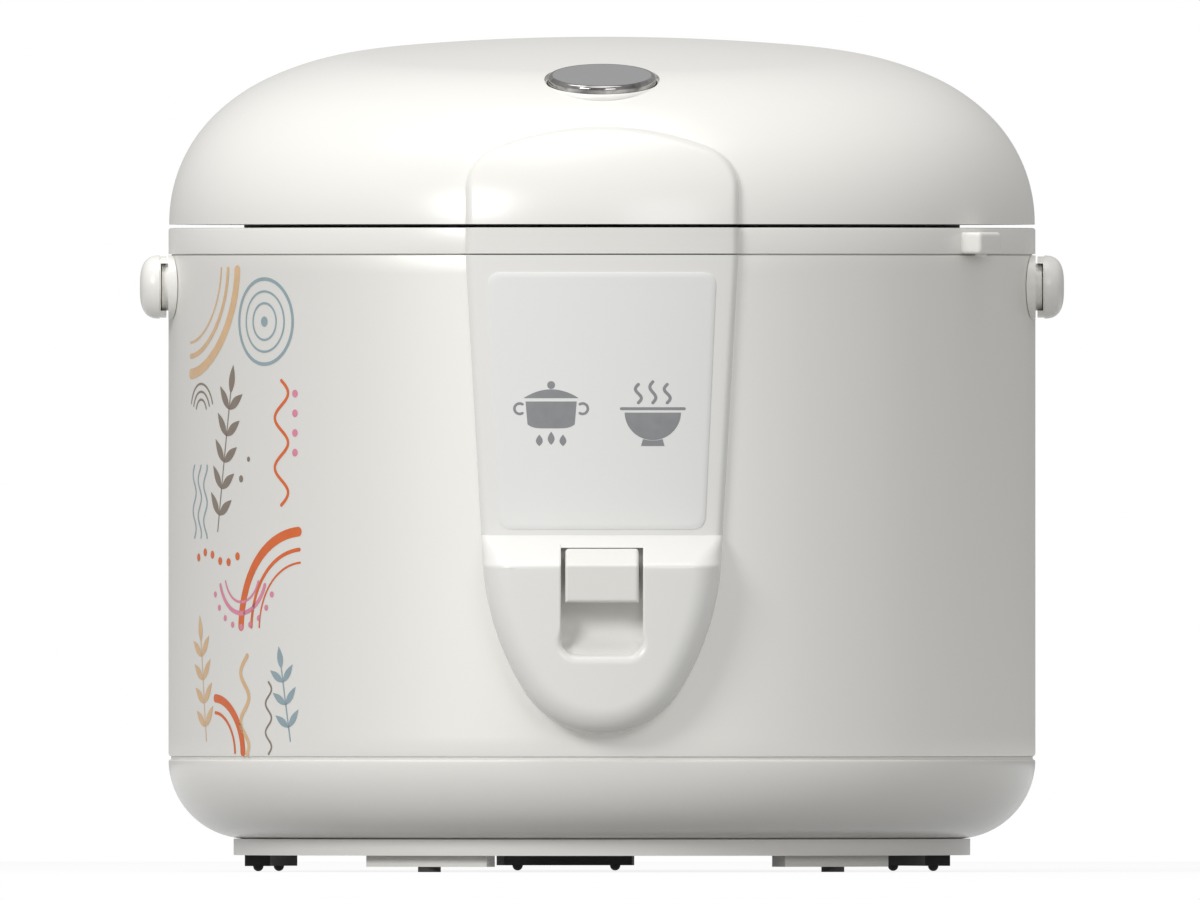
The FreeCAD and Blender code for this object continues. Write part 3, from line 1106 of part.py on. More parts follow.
def lid_pieces():
    """Lid shell with its tongue and knuckle, lid liner, inner lid, gasket and stud."""
    below = block("below_seam", (-FAR, -FAR, seam - FAR), (FAR, FAR, seam))
    shell = cut("lid_hollow", dome("lid_outer", NOTHING), dome("lid_inner", -s.housing_wall), below)
    arch_centre = arch_top - s.arch_radius
    side_x = s.tongue_half - s.arch_corner
    swing = s.arch_radius - s.arch_corner
    side_z = arch_centre + (swing.squared() - side_x.squared()).root()
    joint_x = side_x * s.arch_radius / swing
    joint_z = arch_centre + (side_z - arch_centre) * s.arch_radius / swing
    arch = prism("tongue_face", "XZ_Plane", [
        (-s.tongue_half, seam),
        (s.tongue_half, seam),
        (s.tongue_half, side_z, s.arch_corner),
        (joint_x, joint_z, s.arch_radius),
        (-joint_x, joint_z, s.arch_corner),
        (-s.tongue_half, side_z),
    ], FAR * 2)
    front = block("tongue_front", (-FAR, -FAR, NOTHING), (FAR, -FAR / 3, FAR * 2))
    pad = overlap("tongue_plain", dome("tongue_outer", s.tongue_rise), arch, front)
    pad = cut("tongue_hollow", pad, dome("tongue_inner", -s.housing_wall / 2))

    doc.recompute()
    plain_dome = doc.getObject("lid_outer").Shape
    above_seam = seam.number + s.tongue_rise.number

    def on_rim(edge):
        """True on the edge between the tongue's outer face and its flanks."""
        on_dome = plain_dome.isInside(middle(edge), s.still_gap.number, True)
        return edge.BoundBox.ZMax > above_seam and not on_dome

    pad = rounded("lid_tongue", pad, s.panel_edge, on_rim)

    knuckle = rod("lid_knuckle", s.knuckle_radius, s.knuckle_half * 2, -s.knuckle_half,
                  hinge_y, hinge_z, X_AXIS)
    side_rooms = [rod("lid_knuckle_room_%d" % i, s.knuckle_radius + s.running_gap,
                      s.hinge_half - s.knuckle_half + s.running_gap * 2, x, hinge_y, hinge_z, X_AXIS)
                  for i, x in enumerate((s.knuckle_half, -s.hinge_half - s.running_gap * 2))]
    pin_bore = rod("lid_pin_bore", s.pin_radius + s.running_gap, FAR, -FAR / 2, hinge_y, hinge_z, X_AXIS)
    spring_room = rod("spring_room", s.hinge_coil + s.hinge_wire + s.loose_gap, s.hinge_well * 2,
                      -s.hinge_well, hinge_y, hinge_z, X_AXIS)
    well_outer = s.button_radius + s.running_gap + s.well_wall + s.still_gap
    button_hole = on_button("button_hole", tube_outline(NOTHING, well_outer, -FAR / 8, FAR / 8))
    vent_hole = rod("vent_hole", s.vent_radius + s.running_gap + s.vent_wall + s.still_gap, FAR,
                    y=steam_place, z=vent_top - s.vent_depth)
    whole = join("lid_whole", shell, pad, knuckle)
    finish("lid_shell", cut("lid_shell", whole, *side_rooms, pin_bore, spring_room, button_hole, vent_hole))

    step_top = seam + s.lid_floor + s.step_height
    pan = turned("liner_pan", [
        (step_radius, seam),
        (liner_edge, seam),
        (liner_edge, seam + s.lid_floor),
        (step_radius, seam + s.lid_floor),
        (step_radius, step_top),
        (NOTHING, step_top),
        (NOTHING, step_top - s.lid_floor),
        (step_radius - s.step_wall, step_top - s.lid_floor),
        (step_radius - s.step_wall, seam),
    ])
    room_half = s.hinge_half + s.running_gap * 2
    hinge_room = rod("liner_hinge_room", s.knuckle_radius + s.running_gap, room_half * 2, -room_half,
                     hinge_y, hinge_z, X_AXIS)
    slot = latch_slot("liner_latch_slot", seam - s.cut_margin, seam + s.lid_floor + s.cut_margin)
    half = s.latch_width / 2 + s.running_gap
    ears = [block("latch_ear_%d" % i, (x, latch_y - s.latch_hub, seam),
                  (x + s.latch_ear, latch_y + s.latch_hub, latch_z + s.latch_hub))
            for i, x in enumerate((-half - s.latch_ear, half))]
    ear_hole = rod("latch_ear_hole", s.pin_radius + s.still_gap, FAR, -FAR / 2, latch_y, latch_z, X_AXIS)
    stud_hole = rod("liner_stud_hole", s.stud_radius + s.still_gap, FAR, z=seam)
    steam_hole = rod("liner_steam_hole", s.vent_pipe + s.still_gap, FAR, y=steam_place, z=seam)
    whole = join("liner_whole", cut("liner_slotted", pan, slot), *ears)
    finish("lid_liner", cut("lid_liner", whole, hinge_room, ear_hole, stud_hole, steam_hole))

    sheet_low = seam + s.inner_lid_level
    sheet_high = sheet_low + s.inner_lid_wall
    eye = s.stud_radius + s.running_gap
    disc = turned("inner_lid_disc", tube_outline(eye, inner_lid_radius, sheet_low, sheet_high))
    hole = rod("inner_steam_hole", s.steam_hole, FAR, y=-steam_place, z=seam)
    holes = [around("inner_steam_hole_%d" % i, hole, s.steam_turn * i + FULL_TURN / 2) for i in range(-1, 2)]
    finish("inner_lid", cut("inner_lid", disc, *holes))

    pot_top = ring_top + s.pot_flange_height
    gasket_low = pot_top + s.running_gap
    groove = inner_lid_radius + s.still_gap
    finish("lid_gasket", turned("lid_gasket", [
        (gasket_inner, gasket_low),
        (gasket_outer, gasket_low),
        (gasket_outer, gasket_low + s.gasket_height),
        (gasket_inner, gasket_low + s.gasket_height),
        (gasket_inner, sheet_high + s.still_gap),
        (groove, sheet_high + s.still_gap),
        (groove, sheet_low - s.still_gap),
        (gasket_inner, sheet_low - s.still_gap),
    ]))
    finish("lid_stud", turned("lid_stud", [
        (NOTHING, sheet_low - s.inner_lid_wall * 2),
        (s.stud_head, sheet_low - s.inner_lid_wall * 2),
        (s.stud_head, sheet_low),
        (s.stud_radius, sheet_low),
        (s.stud_radius, step_top + s.inner_lid_wall),
        (NOTHING, step_top + s.inner_lid_wall),
    ]))


def button_pieces():
    """Lid button with its well and spring, and the latch that it turns."""
    well_inner = s.button_radius + s.running_gap
    well_outer = well_inner + s.well_wall
    finish("button_well", on_button("button_well", [
        (s.button_stem + s.running_gap, -s.well_depth),
        (well_outer, -s.well_depth),
        (well_outer, -s.well_rim),
        (well_inner, -s.well_rim),
        (well_inner, -s.well_depth + s.well_wall),
        (s.button_stem + s.running_gap, -s.well_depth + s.well_wall),
    ]))
    finish("lid_button", on_button("lid_button", [
        (NOTHING, -s.button_length),
        (s.button_stem, -s.button_length),
        (s.button_stem, -s.button_skirt),
        (s.button_radius, -s.button_skirt),
        (s.button_radius, -s.button_bevel),
        (s.button_radius - s.button_bevel, NOTHING),
        (NOTHING, NOTHING),
    ]))
    spring_low = s.well_wall - s.well_depth
    spring = coil("button_spring", s.button_coil, s.button_wire, s.button_turns,
                  spring_low.number, -s.button_skirt.number)
    finish("button_spring", turn(place(spring, y=button_y, z=button_z), Vector(1, 0, 0), s.button_tilt))

    stem_y = button_y + s.button_length * s.button_tilt.sine()
    stem_z = button_z - s.button_length * s.button_tilt.cosine() - s.running_gap
    wall = s.latch_wall
    arm_end = stem_y + s.button_stem / 2
    profile = prism("latch_profile", "YZ_Plane", [
        (latch_y - wall / 2, latch_bottom),
        (latch_y + wall / 2, latch_bottom),
        (latch_y + s.latch_slot - s.running_gap, latch_bottom + s.latch_nose),
        (latch_y + wall / 2, latch_bottom + s.latch_nose),
        (latch_y + wall / 2, latch_z - wall / 2),
        (arm_end, stem_z - wall - s.running_gap),
        (arm_end, stem_z - s.running_gap * 2),
        (stem_y - s.button_stem, stem_z - s.running_gap * 4),
        (latch_y, latch_z + wall),
        (latch_y - wall / 2, latch_z),
    ], s.latch_width)
    hub = rod("latch_hub_rod", s.latch_hub, s.latch_width, -s.latch_width / 2, latch_y, latch_z, X_AXIS)
    bore = rod("latch_bore", s.pin_radius + s.running_gap, FAR, -FAR / 2, latch_y, latch_z, X_AXIS)
    finish("latch_hook", cut("latch_hook", join("latch_whole", profile, hub), bore))
    half = s.latch_width / 2 + s.running_gap + s.latch_ear
    finish("latch_pin", rod("latch_pin", s.pin_radius, half * 2, -half, latch_y, latch_z, X_AXIS))


def vent_pieces():
    """Steam vent at the back of the lid: a fixed cup with its pipe, and a cap that lifts out."""
    cup_inner = s.vent_radius + s.running_gap
    cup_outer = cup_inner + s.vent_wall
    cup_low = vent_top - s.vent_depth
    cup_rim = vent_top - s.vent_wall
    pipe_inner = s.vent_pipe - s.vent_wall
    step_top = seam + s.lid_floor + s.step_height
    tube = turned("vent_tube", [
        (pipe_inner, step_top - s.lid_floor),
        (s.vent_pipe, step_top - s.lid_floor),
        (s.vent_pipe, cup_low),
        (cup_outer, cup_low),
        (cup_outer, cup_rim - s.vent_wall * 2),
        (cup_inner, cup_rim - s.vent_wall * 2),
        (cup_inner, cup_low + s.vent_wall),
        (pipe_inner, cup_low + s.vent_wall),
    ])
    finish("vent_tube", place(tube, y=steam_place))
    cap_inner = s.vent_radius - s.vent_wall
    cap = turned("vent_cap_shell", [
        (cap_inner, vent_top - s.vent_height),
        (s.vent_radius, vent_top - s.vent_height),
        (s.vent_radius, vent_top - s.vent_wall),
        (s.vent_radius - s.vent_wall, vent_top),
        (NOTHING, vent_top),
        (NOTHING, vent_top - s.vent_wall),
        (cap_inner, vent_top - s.vent_wall),
    ])
    slits = [block("steam_slit_%d" % i,
                   (-s.vent_radius / 2, s.vent_slit * 3 * i - s.vent_slit / 2, vent_top - s.vent_wall * 2),
                   (s.vent_radius / 2, s.vent_slit * 3 * i + s.vent_slit / 2, vent_top + s.cut_margin))
             for i in range(-1, 2)]
    finish("vent_cap", place(cut("vent_cap", cap, *slits), y=steam_place))


def hinge_pieces():
    """Hinge pin and the spring round it."""
    finish("hinge_pin", rod("hinge_pin", s.pin_radius, s.hinge_half * 2, -s.hinge_half,
                            hinge_y, hinge_z, X_AXIS))
    spring = coil("hinge_spring", s.hinge_coil, s.hinge_wire, s.hinge_turns,
                  -s.hinge_well.number + s.running_gap.number, s.hinge_well.number - s.running_gap.number)
    finish("hinge_spring", place(spring, NOTHING, hinge_y, hinge_z, X_AXIS))


def handle_pieces():
    """Folding carrying handle, its end caps and the two bosses that it turns on."""
    boss_face = s.body_radius
    neck_face = bail_inner - s.running_gap
    stud_end = cap_rim - s.running_gap
    core = drum("boss_core", s.body_radius)
    jacket_core = drum("jacket_core", jacket_outer)
    for side, node in ((-1, "handle_boss_left"), (1, "handle_boss_right")):
        def stub(name, radius, first, last):
            start = -last if side < 0 else first
            return rod(node + name, radius, last - first, start, s.swivel_y, swivel_z, X_AXIS)

        flange = cut(node + "_flange", stub("_disc", s.boss_radius, liner_inner, boss_face), jacket_core)
        stem = stub("_stem", s.boss_stem, jacket_inner - s.boss_radius, boss_face)
        neck = stub("_neck", s.neck_radius, boss_face, neck_face)
        stud = stub("_stud", s.swivel_radius, neck_face, stud_end)
        trimmed = cut(node + "_neck_cut", neck, core)
        finish(node, join(node, flange, stem, trimmed, stud))

    bail_outer = bail_inner + s.bail_wall
    bend = s.bail_back
    bend_inner = bail_inner + s.bend_relief
    bow = prism("carry_handle", "XY_Plane", [
        (-bail_outer, bend),
        (-bend_inner, bend, -bend_inner),
        (NOTHING, bend + bend_inner, -bend_inner),
        (bend_inner, bend),
        (bail_outer, bend, bail_outer),
        (NOTHING, bend + bail_outer, bail_outer),
    ], s.bail_height)
    finish("carry_handle", place(bow, z=swivel_z))
    arms = []
    caps = []
    for side in (-1, 1):
        tag = "left" if side < 0 else "right"

        def along(name, radius, first, last):
            start = -last if side < 0 else first
            return rod("%s_%s" % (name, tag), radius, last - first, start, s.swivel_y, swivel_z, X_AXIS)

        def span(name, first, last, low, high):
            start, end = (-last, -first) if side < 0 else (first, last)
            return block("%s_%s" % (name, tag), (start, *low), (end, *high))

        bar = span("arm_bar", bail_inner, bail_outer, (s.swivel_y, swivel_z - s.bail_height / 2),
                   (bend, swivel_z + s.bail_height / 2))
        hub = along("arm_hub", s.cap_radius, bail_inner, cap_rim)
        collar_outer = along("collar_outer", s.cap_radius, s.body_radius + s.running_gap * 2, bail_inner)
        collar_bore = s.cap_radius - s.collar_wall
        collar_inner = along("collar_inner", collar_bore, s.body_radius, bail_inner)
        mouth = span("collar_mouth", s.body_radius, bail_inner,
                     (s.swivel_y - s.cap_radius * 2, swivel_z - s.neck_radius),
                     (s.swivel_y, swivel_z + s.neck_radius))
        whole = join("arm_whole_" + tag, bar, hub, cut("collar_" + tag, collar_outer, collar_inner, mouth))
        bore = along("arm_bore", s.swivel_radius + s.running_gap, bail_inner - s.running_gap, cap_rim)
        seat = along("cap_seat", s.cap_radius + s.running_gap, cap_rim, cap_reach)
        arms.append(cut("arm_" + tag, whole, bore, seat))
        bulb = (s.cap_radius.squared() + s.cap_height.squared()) / (s.cap_height * 2)
        sphere = ball("cap_ball_" + tag, bulb, (cap_reach - bulb) * side, s.swivel_y, swivel_z)
        room = along("cap_room", s.cap_radius * 2, cap_rim, cap_reach + s.cut_margin)
        caps.append(overlap("cap_" + tag, sphere, room))
    finish("handle_arms", join("handle_arms", *arms))
    finish("handle_caps", join("handle_caps", *caps))


def rear_pieces():
    """Dew cup with its holder and drain chute, and the power inlet with its pins."""
    core = drum("cup_core", jacket_outer + s.running_gap)
    skin = drum("jacket_skin", jacket_outer)
    near = liner_inner
    tub = block("dew_block", (-s.dew_half, near, dew_bottom), (s.dew_half, dew_reach, dew_top))
    tub = rounded("dew_rounded", tub, s.dew_rounding,
                  lambda e: middle(e).y > dew_reach.number - CLOSE
                  and e.BoundBox.ZLength > s.holder_height.number)
    room_core = drum("cup_room_core", jacket_outer + s.running_gap + s.dew_wall)
    room = block("dew_room", (-s.dew_half + s.dew_wall, near, dew_bottom + s.dew_wall),
                 (s.dew_half - s.dew_wall, dew_reach - s.dew_wall, dew_top + s.cut_margin))
    finish("dew_cup", cut("dew_cup", cut("dew_outer", tub, core), cut("dew_hollow", room, room_core)))

    outer = s.dew_half + s.running_gap + s.dew_wall
    floor_low = dew_bottom - s.running_gap - s.dew_wall
    tray_top = floor_low + s.holder_height
    tray = block("holder_block", (-outer, near, floor_low), (outer, holder_reach, tray_top))
    tray_room = block("holder_room", (-s.dew_half - s.running_gap, near, floor_low + s.dew_wall),
                      (s.dew_half + s.running_gap, FAR, tray_top + s.cut_margin))
    finish("dew_cup_holder", cut("dew_cup_holder", tray, tray_room, skin))

    chute_low = dew_top + s.running_gap * 3
    chute_high = jacket_top - s.ring_rebate
    spout = block("chute_block", (-s.chute_half, near, chute_low),
                  (s.chute_half, chute_reach, chute_high))
    channel = block("chute_channel", (-s.chute_half + s.dew_wall, near, chute_low - s.cut_margin),
                    (s.chute_half - s.dew_wall, chute_reach - s.dew_wall, chute_high + s.cut_margin))
    finish("drain_chute", cut("drain_chute", spout, channel, skin))

    half, tall = s.inlet_half, s.inlet_mouth / 2
    low, high = s.inlet_z - tall, s.inlet_z + tall
    case_back = inlet_face - s.inlet_depth - s.inlet_wall
    case = block("inlet_case", (-half - s.inlet_wall, case_back, low - s.inlet_wall),
                 (half + s.inlet_wall, inlet_face, high + s.inlet_wall))
    collar = block("inlet_collar", (-half - s.inlet_flange, near, low - s.inlet_flange),
                   (half + s.inlet_flange, inlet_face, high + s.inlet_flange))
    mouth = block("inlet_mouth_room", (-half, inlet_face - s.inlet_depth, low), (half, FAR, high))
    whole = join("inlet_whole", case, cut("inlet_flange_ring", collar, skin))
    finish("inlet_socket", cut("inlet_socket", whole, mouth))
    blades = [block("blade_%d" % i, (s.blade_pitch * i - s.blade_width / 2, inlet_face - s.inlet_depth,
                                     s.inlet_z - s.blade_height / 2),
                    (s.blade_pitch * i + s.blade_width / 2, inlet_face - s.inlet_depth + s.blade_length,
                     s.inlet_z + s.blade_height / 2))
              for i in range(-1, 2)]
    finish("inlet_pins", join("inlet_pins", *blades))


base_pieces()
jacket_and_ring()
cooking_pieces()
thermostat_pieces()
linkage_pieces()
panel_pieces()
lid_pieces()
button_pieces()
vent_pieces()
hinge_pieces()
handle_pieces()
rear_pieces()

doc.recompute()
for thing in doc.Objects:
    if "Invalid" in thing.State or "Error" in thing.State:
        raise RuntimeError("%s did not build: %s" % (thing.Label, thing.State))
for node, thing in finished:
    if thing.Shape.isNull() or not thing.Shape.isValid():
        raise RuntimeError("%s has no valid shape" % node)
    thing.Shape.exportStep("parts/%s.step" % node)
print(len(finished), "sub-parts")
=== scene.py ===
"""Dresses the jar rice cooker: its outer shells, panel, print, button and every carried-over piece.

All lengths inside the shape functions are millimetres in the cooker's own frame.
put_piece turns them to metres.
"""

import json
from math import asin, atan, atan2, cos, degrees, pi, radians, sin, sqrt

import bmesh
import bpy
import numpy as np
from mathutils import Matrix, Vector

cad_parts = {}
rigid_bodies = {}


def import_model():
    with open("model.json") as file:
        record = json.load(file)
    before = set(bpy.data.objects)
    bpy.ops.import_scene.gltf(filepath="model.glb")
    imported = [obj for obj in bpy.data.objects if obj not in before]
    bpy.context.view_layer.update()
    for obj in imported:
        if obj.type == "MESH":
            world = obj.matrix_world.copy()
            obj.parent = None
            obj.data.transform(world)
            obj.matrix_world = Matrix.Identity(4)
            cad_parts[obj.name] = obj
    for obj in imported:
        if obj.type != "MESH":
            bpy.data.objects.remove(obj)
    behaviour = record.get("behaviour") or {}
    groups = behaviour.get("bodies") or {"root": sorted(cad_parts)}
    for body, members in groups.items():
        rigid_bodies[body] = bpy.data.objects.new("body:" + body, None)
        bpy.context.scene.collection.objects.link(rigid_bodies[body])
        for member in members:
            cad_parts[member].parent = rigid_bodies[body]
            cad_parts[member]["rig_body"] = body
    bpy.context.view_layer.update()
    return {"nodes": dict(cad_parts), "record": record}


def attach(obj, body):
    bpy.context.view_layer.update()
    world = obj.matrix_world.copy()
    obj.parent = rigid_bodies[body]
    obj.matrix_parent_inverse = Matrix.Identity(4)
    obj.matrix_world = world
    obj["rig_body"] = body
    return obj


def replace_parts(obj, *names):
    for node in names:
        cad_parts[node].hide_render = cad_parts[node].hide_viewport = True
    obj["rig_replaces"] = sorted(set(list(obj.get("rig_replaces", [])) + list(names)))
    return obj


bl_info = {
    "name": "Jar rice cooker",
    "version": (1, 0, 0),
    "blender": (4, 5, 0),
    "location": "View3D > Sidebar > Cooker",
    "description": "Builds the looks of a round jar rice cooker around its packed solids",
    "category": "Add Mesh",
}

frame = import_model()
SLOTS = {row["node"]: row["material_slot"] for row in frame["record"]["subparts"]}
SPRINGS = ("thermostat_spring", "button_spring", "hinge_spring")
MM = 0.001
FRONT = (0, -1, 0)

# Body, from the table up
BODY_R = 132.5
PLATE_TOP = 10.0
BOWL_FLOOR_R = 92.0
BOWL_CORNER = 24.2
BOWL_WALL = 2.5
BOWL_TOP = 34.2
NECK_R = 131.7
HEM_R = 127.5
JACKET_FOOT = 35.1
JACKET_TOP = 188.3
JACKET_SHEET = 0.8
LEVER_WINDOW = (15.7, 76.0, 97.3)
INLET_WINDOW = (14.2, 51.6, 72.4)
RING_FOOT = 188.7
RING_TOP = 196.65
RING_UNDER = 194.2
RING_BORE = 107.5
RING_SKIRT = (129.7, 131.5, 180.3)
LATCH_SLOT = (5.4, 112.8, 119.2)
POT_WALL = 2.0
POT_CORNER = 22.0
POT_CENTRE = (83.5, 80.0)
POT_FLANGE = 109.4

# Raised strip, panel, bulge and finger pocket
SUNK = -0.4
STRIP_RISE = 3.0
STRIP_EDGE = 2.2
TONGUE_HALF = 41.6
PANEL_HALF = 36.6
PANEL_TURN = 100.0
PANEL_TIP = 42.1
FLANK_START = 10.0
TIP_R = 28.0
CREASE_Z = 102.8
RIDGE_Z = 93.6
RIDGE_EASE = 0.5
BULGE_TOP = 15.1
BULGE_FALL = 1.4
BULGE_EDGE = 8.0
TIP_MARGIN = 3.0
POCKET_HALF = 12.5
POCKET_TOP = 99.0
POCKET_FOOT = 66.5
POCKET_CORNER = 5.0
POCKET_BACK = 135.2
SCOOP_R = 13.0
LABEL_CORNERS = ((-34.9, 182.9), (-31.4, 104.6), (31.4, 104.6), (34.9, 182.9))
LABEL_ROUND = 4.2
SIGN_RISE = 3.33
INK_RISE = 0.05

# Lid, button, hinge and handle
SEAM = 197.7
LID_R = 132.3
LID_FOOT = 0.7
LID_SKIRT = -12.0
LID_WALL = 2.5
LID_TILT = radians(4.0)
LID_ARCS = ((45.4, 0.0, 45.7), (57.2, 45.7, 64.5), (88.8, 64.5, 84.0))
ARCH_CORNER = 14.0
ARCH_R = 89.0
ARCH_TOP = 227.5
BUTTON_AT = (0.0, -87.0, 243.3)
BUTTON_TILT = radians(12.7)
BUTTON_HOLE = 17.6
DISC_R = 15.25
BEVEL_R = 15.3
BEVEL = 1.3
STEM_R = 5.0
STEM_FOOT = -26.0
VENT_AT = (0.0, 84.0)
VENT_HOLE = 18.2
HINGE_AT = (133.0, 198.0)
BARREL_R = 5.0
LID_BARREL = 20.0
RING_BARRELS = (20.3, 33.0)
SWIVEL_AT = (-18.5, 178.6)
CAP_FOOT = 135.2
CAP_CROWN = 141.2
CAP_R = 9.65
CAP_FULLNESS = 2.6
BRACKET_TURN = radians(58.6)

# Stage, in metres
FLOOR_HALF = 1.2
FLOOR_TONES = (0.3, 0.9)
FLOOR_GLOW = 0.86
VIEW_SIDE = -0.0006
VIEW_REACH = 10.19
VIEW_HEIGHT = 0.1288
LAMPS = (
    ("key_light", (-1.8, -2.5, 1.6), (0.0, 0.0, 0.13), 1.0, "key_power"),
    ("fill_light", (1.0, -3.2, 1.3), (0.0, 0.0, 0.13), 1.2, "fill_power"),
    ("top_light", (-0.3, -0.2, 2.4), (0.0, 0.0, 0.2), 1.8, "top_power"),
)


# Shapes


def sheet(rows, around=False, closed=False, turned=False):
    """Rows of points as one shape of quads.

    Around joins the last point of a row to its first, closed the last row to the first, and turned makes the
    faces look the other way.
    """
    grid = np.stack(rows)
    high, wide = grid.shape[:2]
    i, j = np.meshgrid(np.arange(high - 1 + closed), np.arange(wide - 1 + around), indexing="ij")
    k, n = (i + 1) % high, (j + 1) % wide
    quads = stacked(i * wide + j, i * wide + n, k * wide + n, k * wide + j).reshape(-1, 4)
    return grid.reshape(-1, grid.shape[-1]), (quads[:, ::-1] if turned else quads)


def joined(*parts):
    """Several (points, quads) shapes as one."""
    points, quads, base = [], [], 0
    for p, q in parts:
        points.append(p)
        quads.append(np.asarray(q) + base)
        base += len(p)
    return np.concatenate(points), np.concatenate(quads)


def chain(*parts):
    """Lines of points, one after the other."""
    return np.concatenate(parts)


def stacked(*coordinates):
    """Points from their coordinates, each an array or a single number."""
    return np.stack(np.broadcast_arrays(*coordinates), -1)


def full_turn(count):
    """Equal angles once round."""
    return np.linspace(0, 2 * pi, count, endpoint=False)


def quarter(count):
    """Equal angles from nothing to a right angle."""
    return np.radians(np.linspace(0, 90, count))


def eased(share):
    """A share that starts and ends gently: 3 s^2 - 2 s^3."""
    return share * share * (3 - 2 * share)


def arc(centre, radius, first, last, count):
    """Points on a circle: centre plus radius times cosine and sine, at equal angles, in degrees."""
    a = np.radians(np.linspace(first, last, count))
    return stacked(centre[0] + radius * np.cos(a), centre[1] + radius * np.sin(a))


def upright(x, low, high, count):
    """Points at equal steps on an upright line."""
    return stacked(x, np.linspace(low, high, count))


def mirrored(left):
    """The mirror image of a line, run backwards, without its first point."""
    return (left * (-1, 1))[::-1][1:]


def softened(profile, radius, count=5):
    """A closed outline with soft corners.

    Each corner becomes a quadratic curve between the points that lie one radius, or at most 0.45 of a side,
    before and after it.
    """
    p, most = np.asarray(profile, float), 0.45
    before, after = np.roll(p, 1, 0) - p, np.roll(p, -1, 0) - p
    length_b, length_a = np.linalg.norm(before, axis=1), np.linalg.norm(after, axis=1)
    a = p + before / length_b[:, None] * np.minimum(radius, most * length_b)[:, None]
    b = p + after / length_a[:, None] * np.minimum(radius, most * length_a)[:, None]
    t = np.linspace(0, 1, count)[None, :, None]
    curve = (1 - t) ** 2 * a[:, None] + 2 * t * (1 - t) * p[:, None] + t ** 2 * b[:, None]
    return curve.reshape(-1, 2)


def revolved(profile, turns):
    """A (radius, height) profile round the Z axis: x = r sin a, y = -r cos a, with a from the front."""
    r, z = np.asarray(profile, float).T[..., None]
    return stacked(r * np.sin(turns), -r * np.cos(turns), z)


def lathe(profile, columns, closed=True):
    """A profile taken once round the Z axis; a closed one ends where it began."""
    return sheet(revolved(profile, full_turn(columns)), True, closed)


def windowed(profile, turns, dropped):
    """A closed profile taken round at given angles, less the quads whose middles dropped points out."""
    points, quads = sheet(revolved(profile, turns), True, True)
    return points, quads[~dropped(points[quads].mean(1))]


def round_x(reach, radius, centre, columns):
    """Circles round an axis along X through the centre's y and z, one for each reach and radius."""
    a = full_turn(columns)
    reach, radius = reach[:, None], radius[:, None]
    return stacked(reach, centre[0] + radius * np.cos(a), centre[1] + radius * np.sin(a))


def dome_profile(offset):
    """The lid's outline, every radius grown by offset: plain foot, shoulder, haunch, brow and crown.

    Each arc starts where the last one ends and has its centre on the same normal, so they meet smoothly. The
    crown's centre is on the axis.
    """
    r, h = LID_R, LID_FOOT
    rows = [upright(r + offset, LID_SKIRT, h, 12)]
    for radius, first, last in LID_ARCS:
        centre = (r, h) - arc((0.0, 0.0), radius, first, first, 1)[0]
        rows.append(arc(centre, radius + offset, first, last, 60)[1:])
        r, h = arc(centre, radius, last, last, 1)[0]
    crown = r / cos(radians(last))
    centre = (0.0, h - crown * sin(radians(last)))
    rows.append(arc(centre, crown + offset, last, 90.0, 60)[1:])
    return np.concatenate(rows)


def tilted(x, y, h):
    """Lid points turned forward about the seam: y' = y cos t - h sin t, z' = seam + h cos t + y sin t."""
    c, s = cos(LID_TILT), sin(LID_TILT)
    return stacked(x, y * c - h * s, SEAM + h * c + y * s)


def outside_dome(x, y, z, offset):
    """How far points lie outside the tilted dome: distance from its axis less the grown outline's radius."""
    c, s = cos(LID_TILT), sin(LID_TILT)
    profile = dome_profile(offset)
    along = y * c + (z - SEAM) * s
    height = (z - SEAM) * c - y * s
    return np.hypot(x, along) - np.interp(height, profile[:, 1], profile[:, 0], right=-1.0)


def halved(test, low, high, steps=48):
    """Bisection on whole arrays: the place from low to high where test turns from negative to positive."""
    low, high = low.copy(), high.copy()
    for _ in range(steps):
        middle = (low + high) / 2
        up = test(middle) > 0
        high = np.where(up, middle, high)
        low = np.where(up, low, middle)
    return (low + high) / 2


def dome_z(x, y, offset):
    """Height of the dome above a point of the plan, by bisection."""
    flat, rise = np.zeros_like(x), 75
    return halved(lambda z: outside_dome(x, y, z, offset), flat + SEAM, flat + SEAM + rise)


def dome_front(x, z, offset):
    """The y of the dome's front face at a point of the front view, by bisection."""
    flat, near, far = np.zeros_like(x), 20, 165
    return -halved(lambda d: outside_dome(x, -d, z, offset), flat + near, flat + far)


def dome_grid(offset, rows, columns):
    """Rows along the dome's outline, from the seam plane, found by bisection, up to the crown."""
    profile = dome_profile(offset)
    length = chain([0], np.cumsum(np.hypot(*np.diff(profile, axis=0).T)))
    turn, reach = full_turn(columns), 60.0

    def at(way):
        """Radius and height of the outline at a way along it."""
        return np.interp(way, length, profile[:, 0]), np.interp(way, length, profile[:, 1])

    def rise(way):
        """Height above the seam plane of the tilted outline at a way along it."""
        r, h = at(way)
        return h * cos(LID_TILT) - r * np.cos(turn) * sin(LID_TILT)

    foot = halved(rise, np.zeros(columns), np.full(columns, reach))
    r, h = at(foot + (length[-1] - foot) * np.linspace(0, 1, rows)[:, None])
    points = tilted(r * np.sin(turn), -r * np.cos(turn), h)
    points[0, :, 2] = SEAM
    return sheet(points, True)


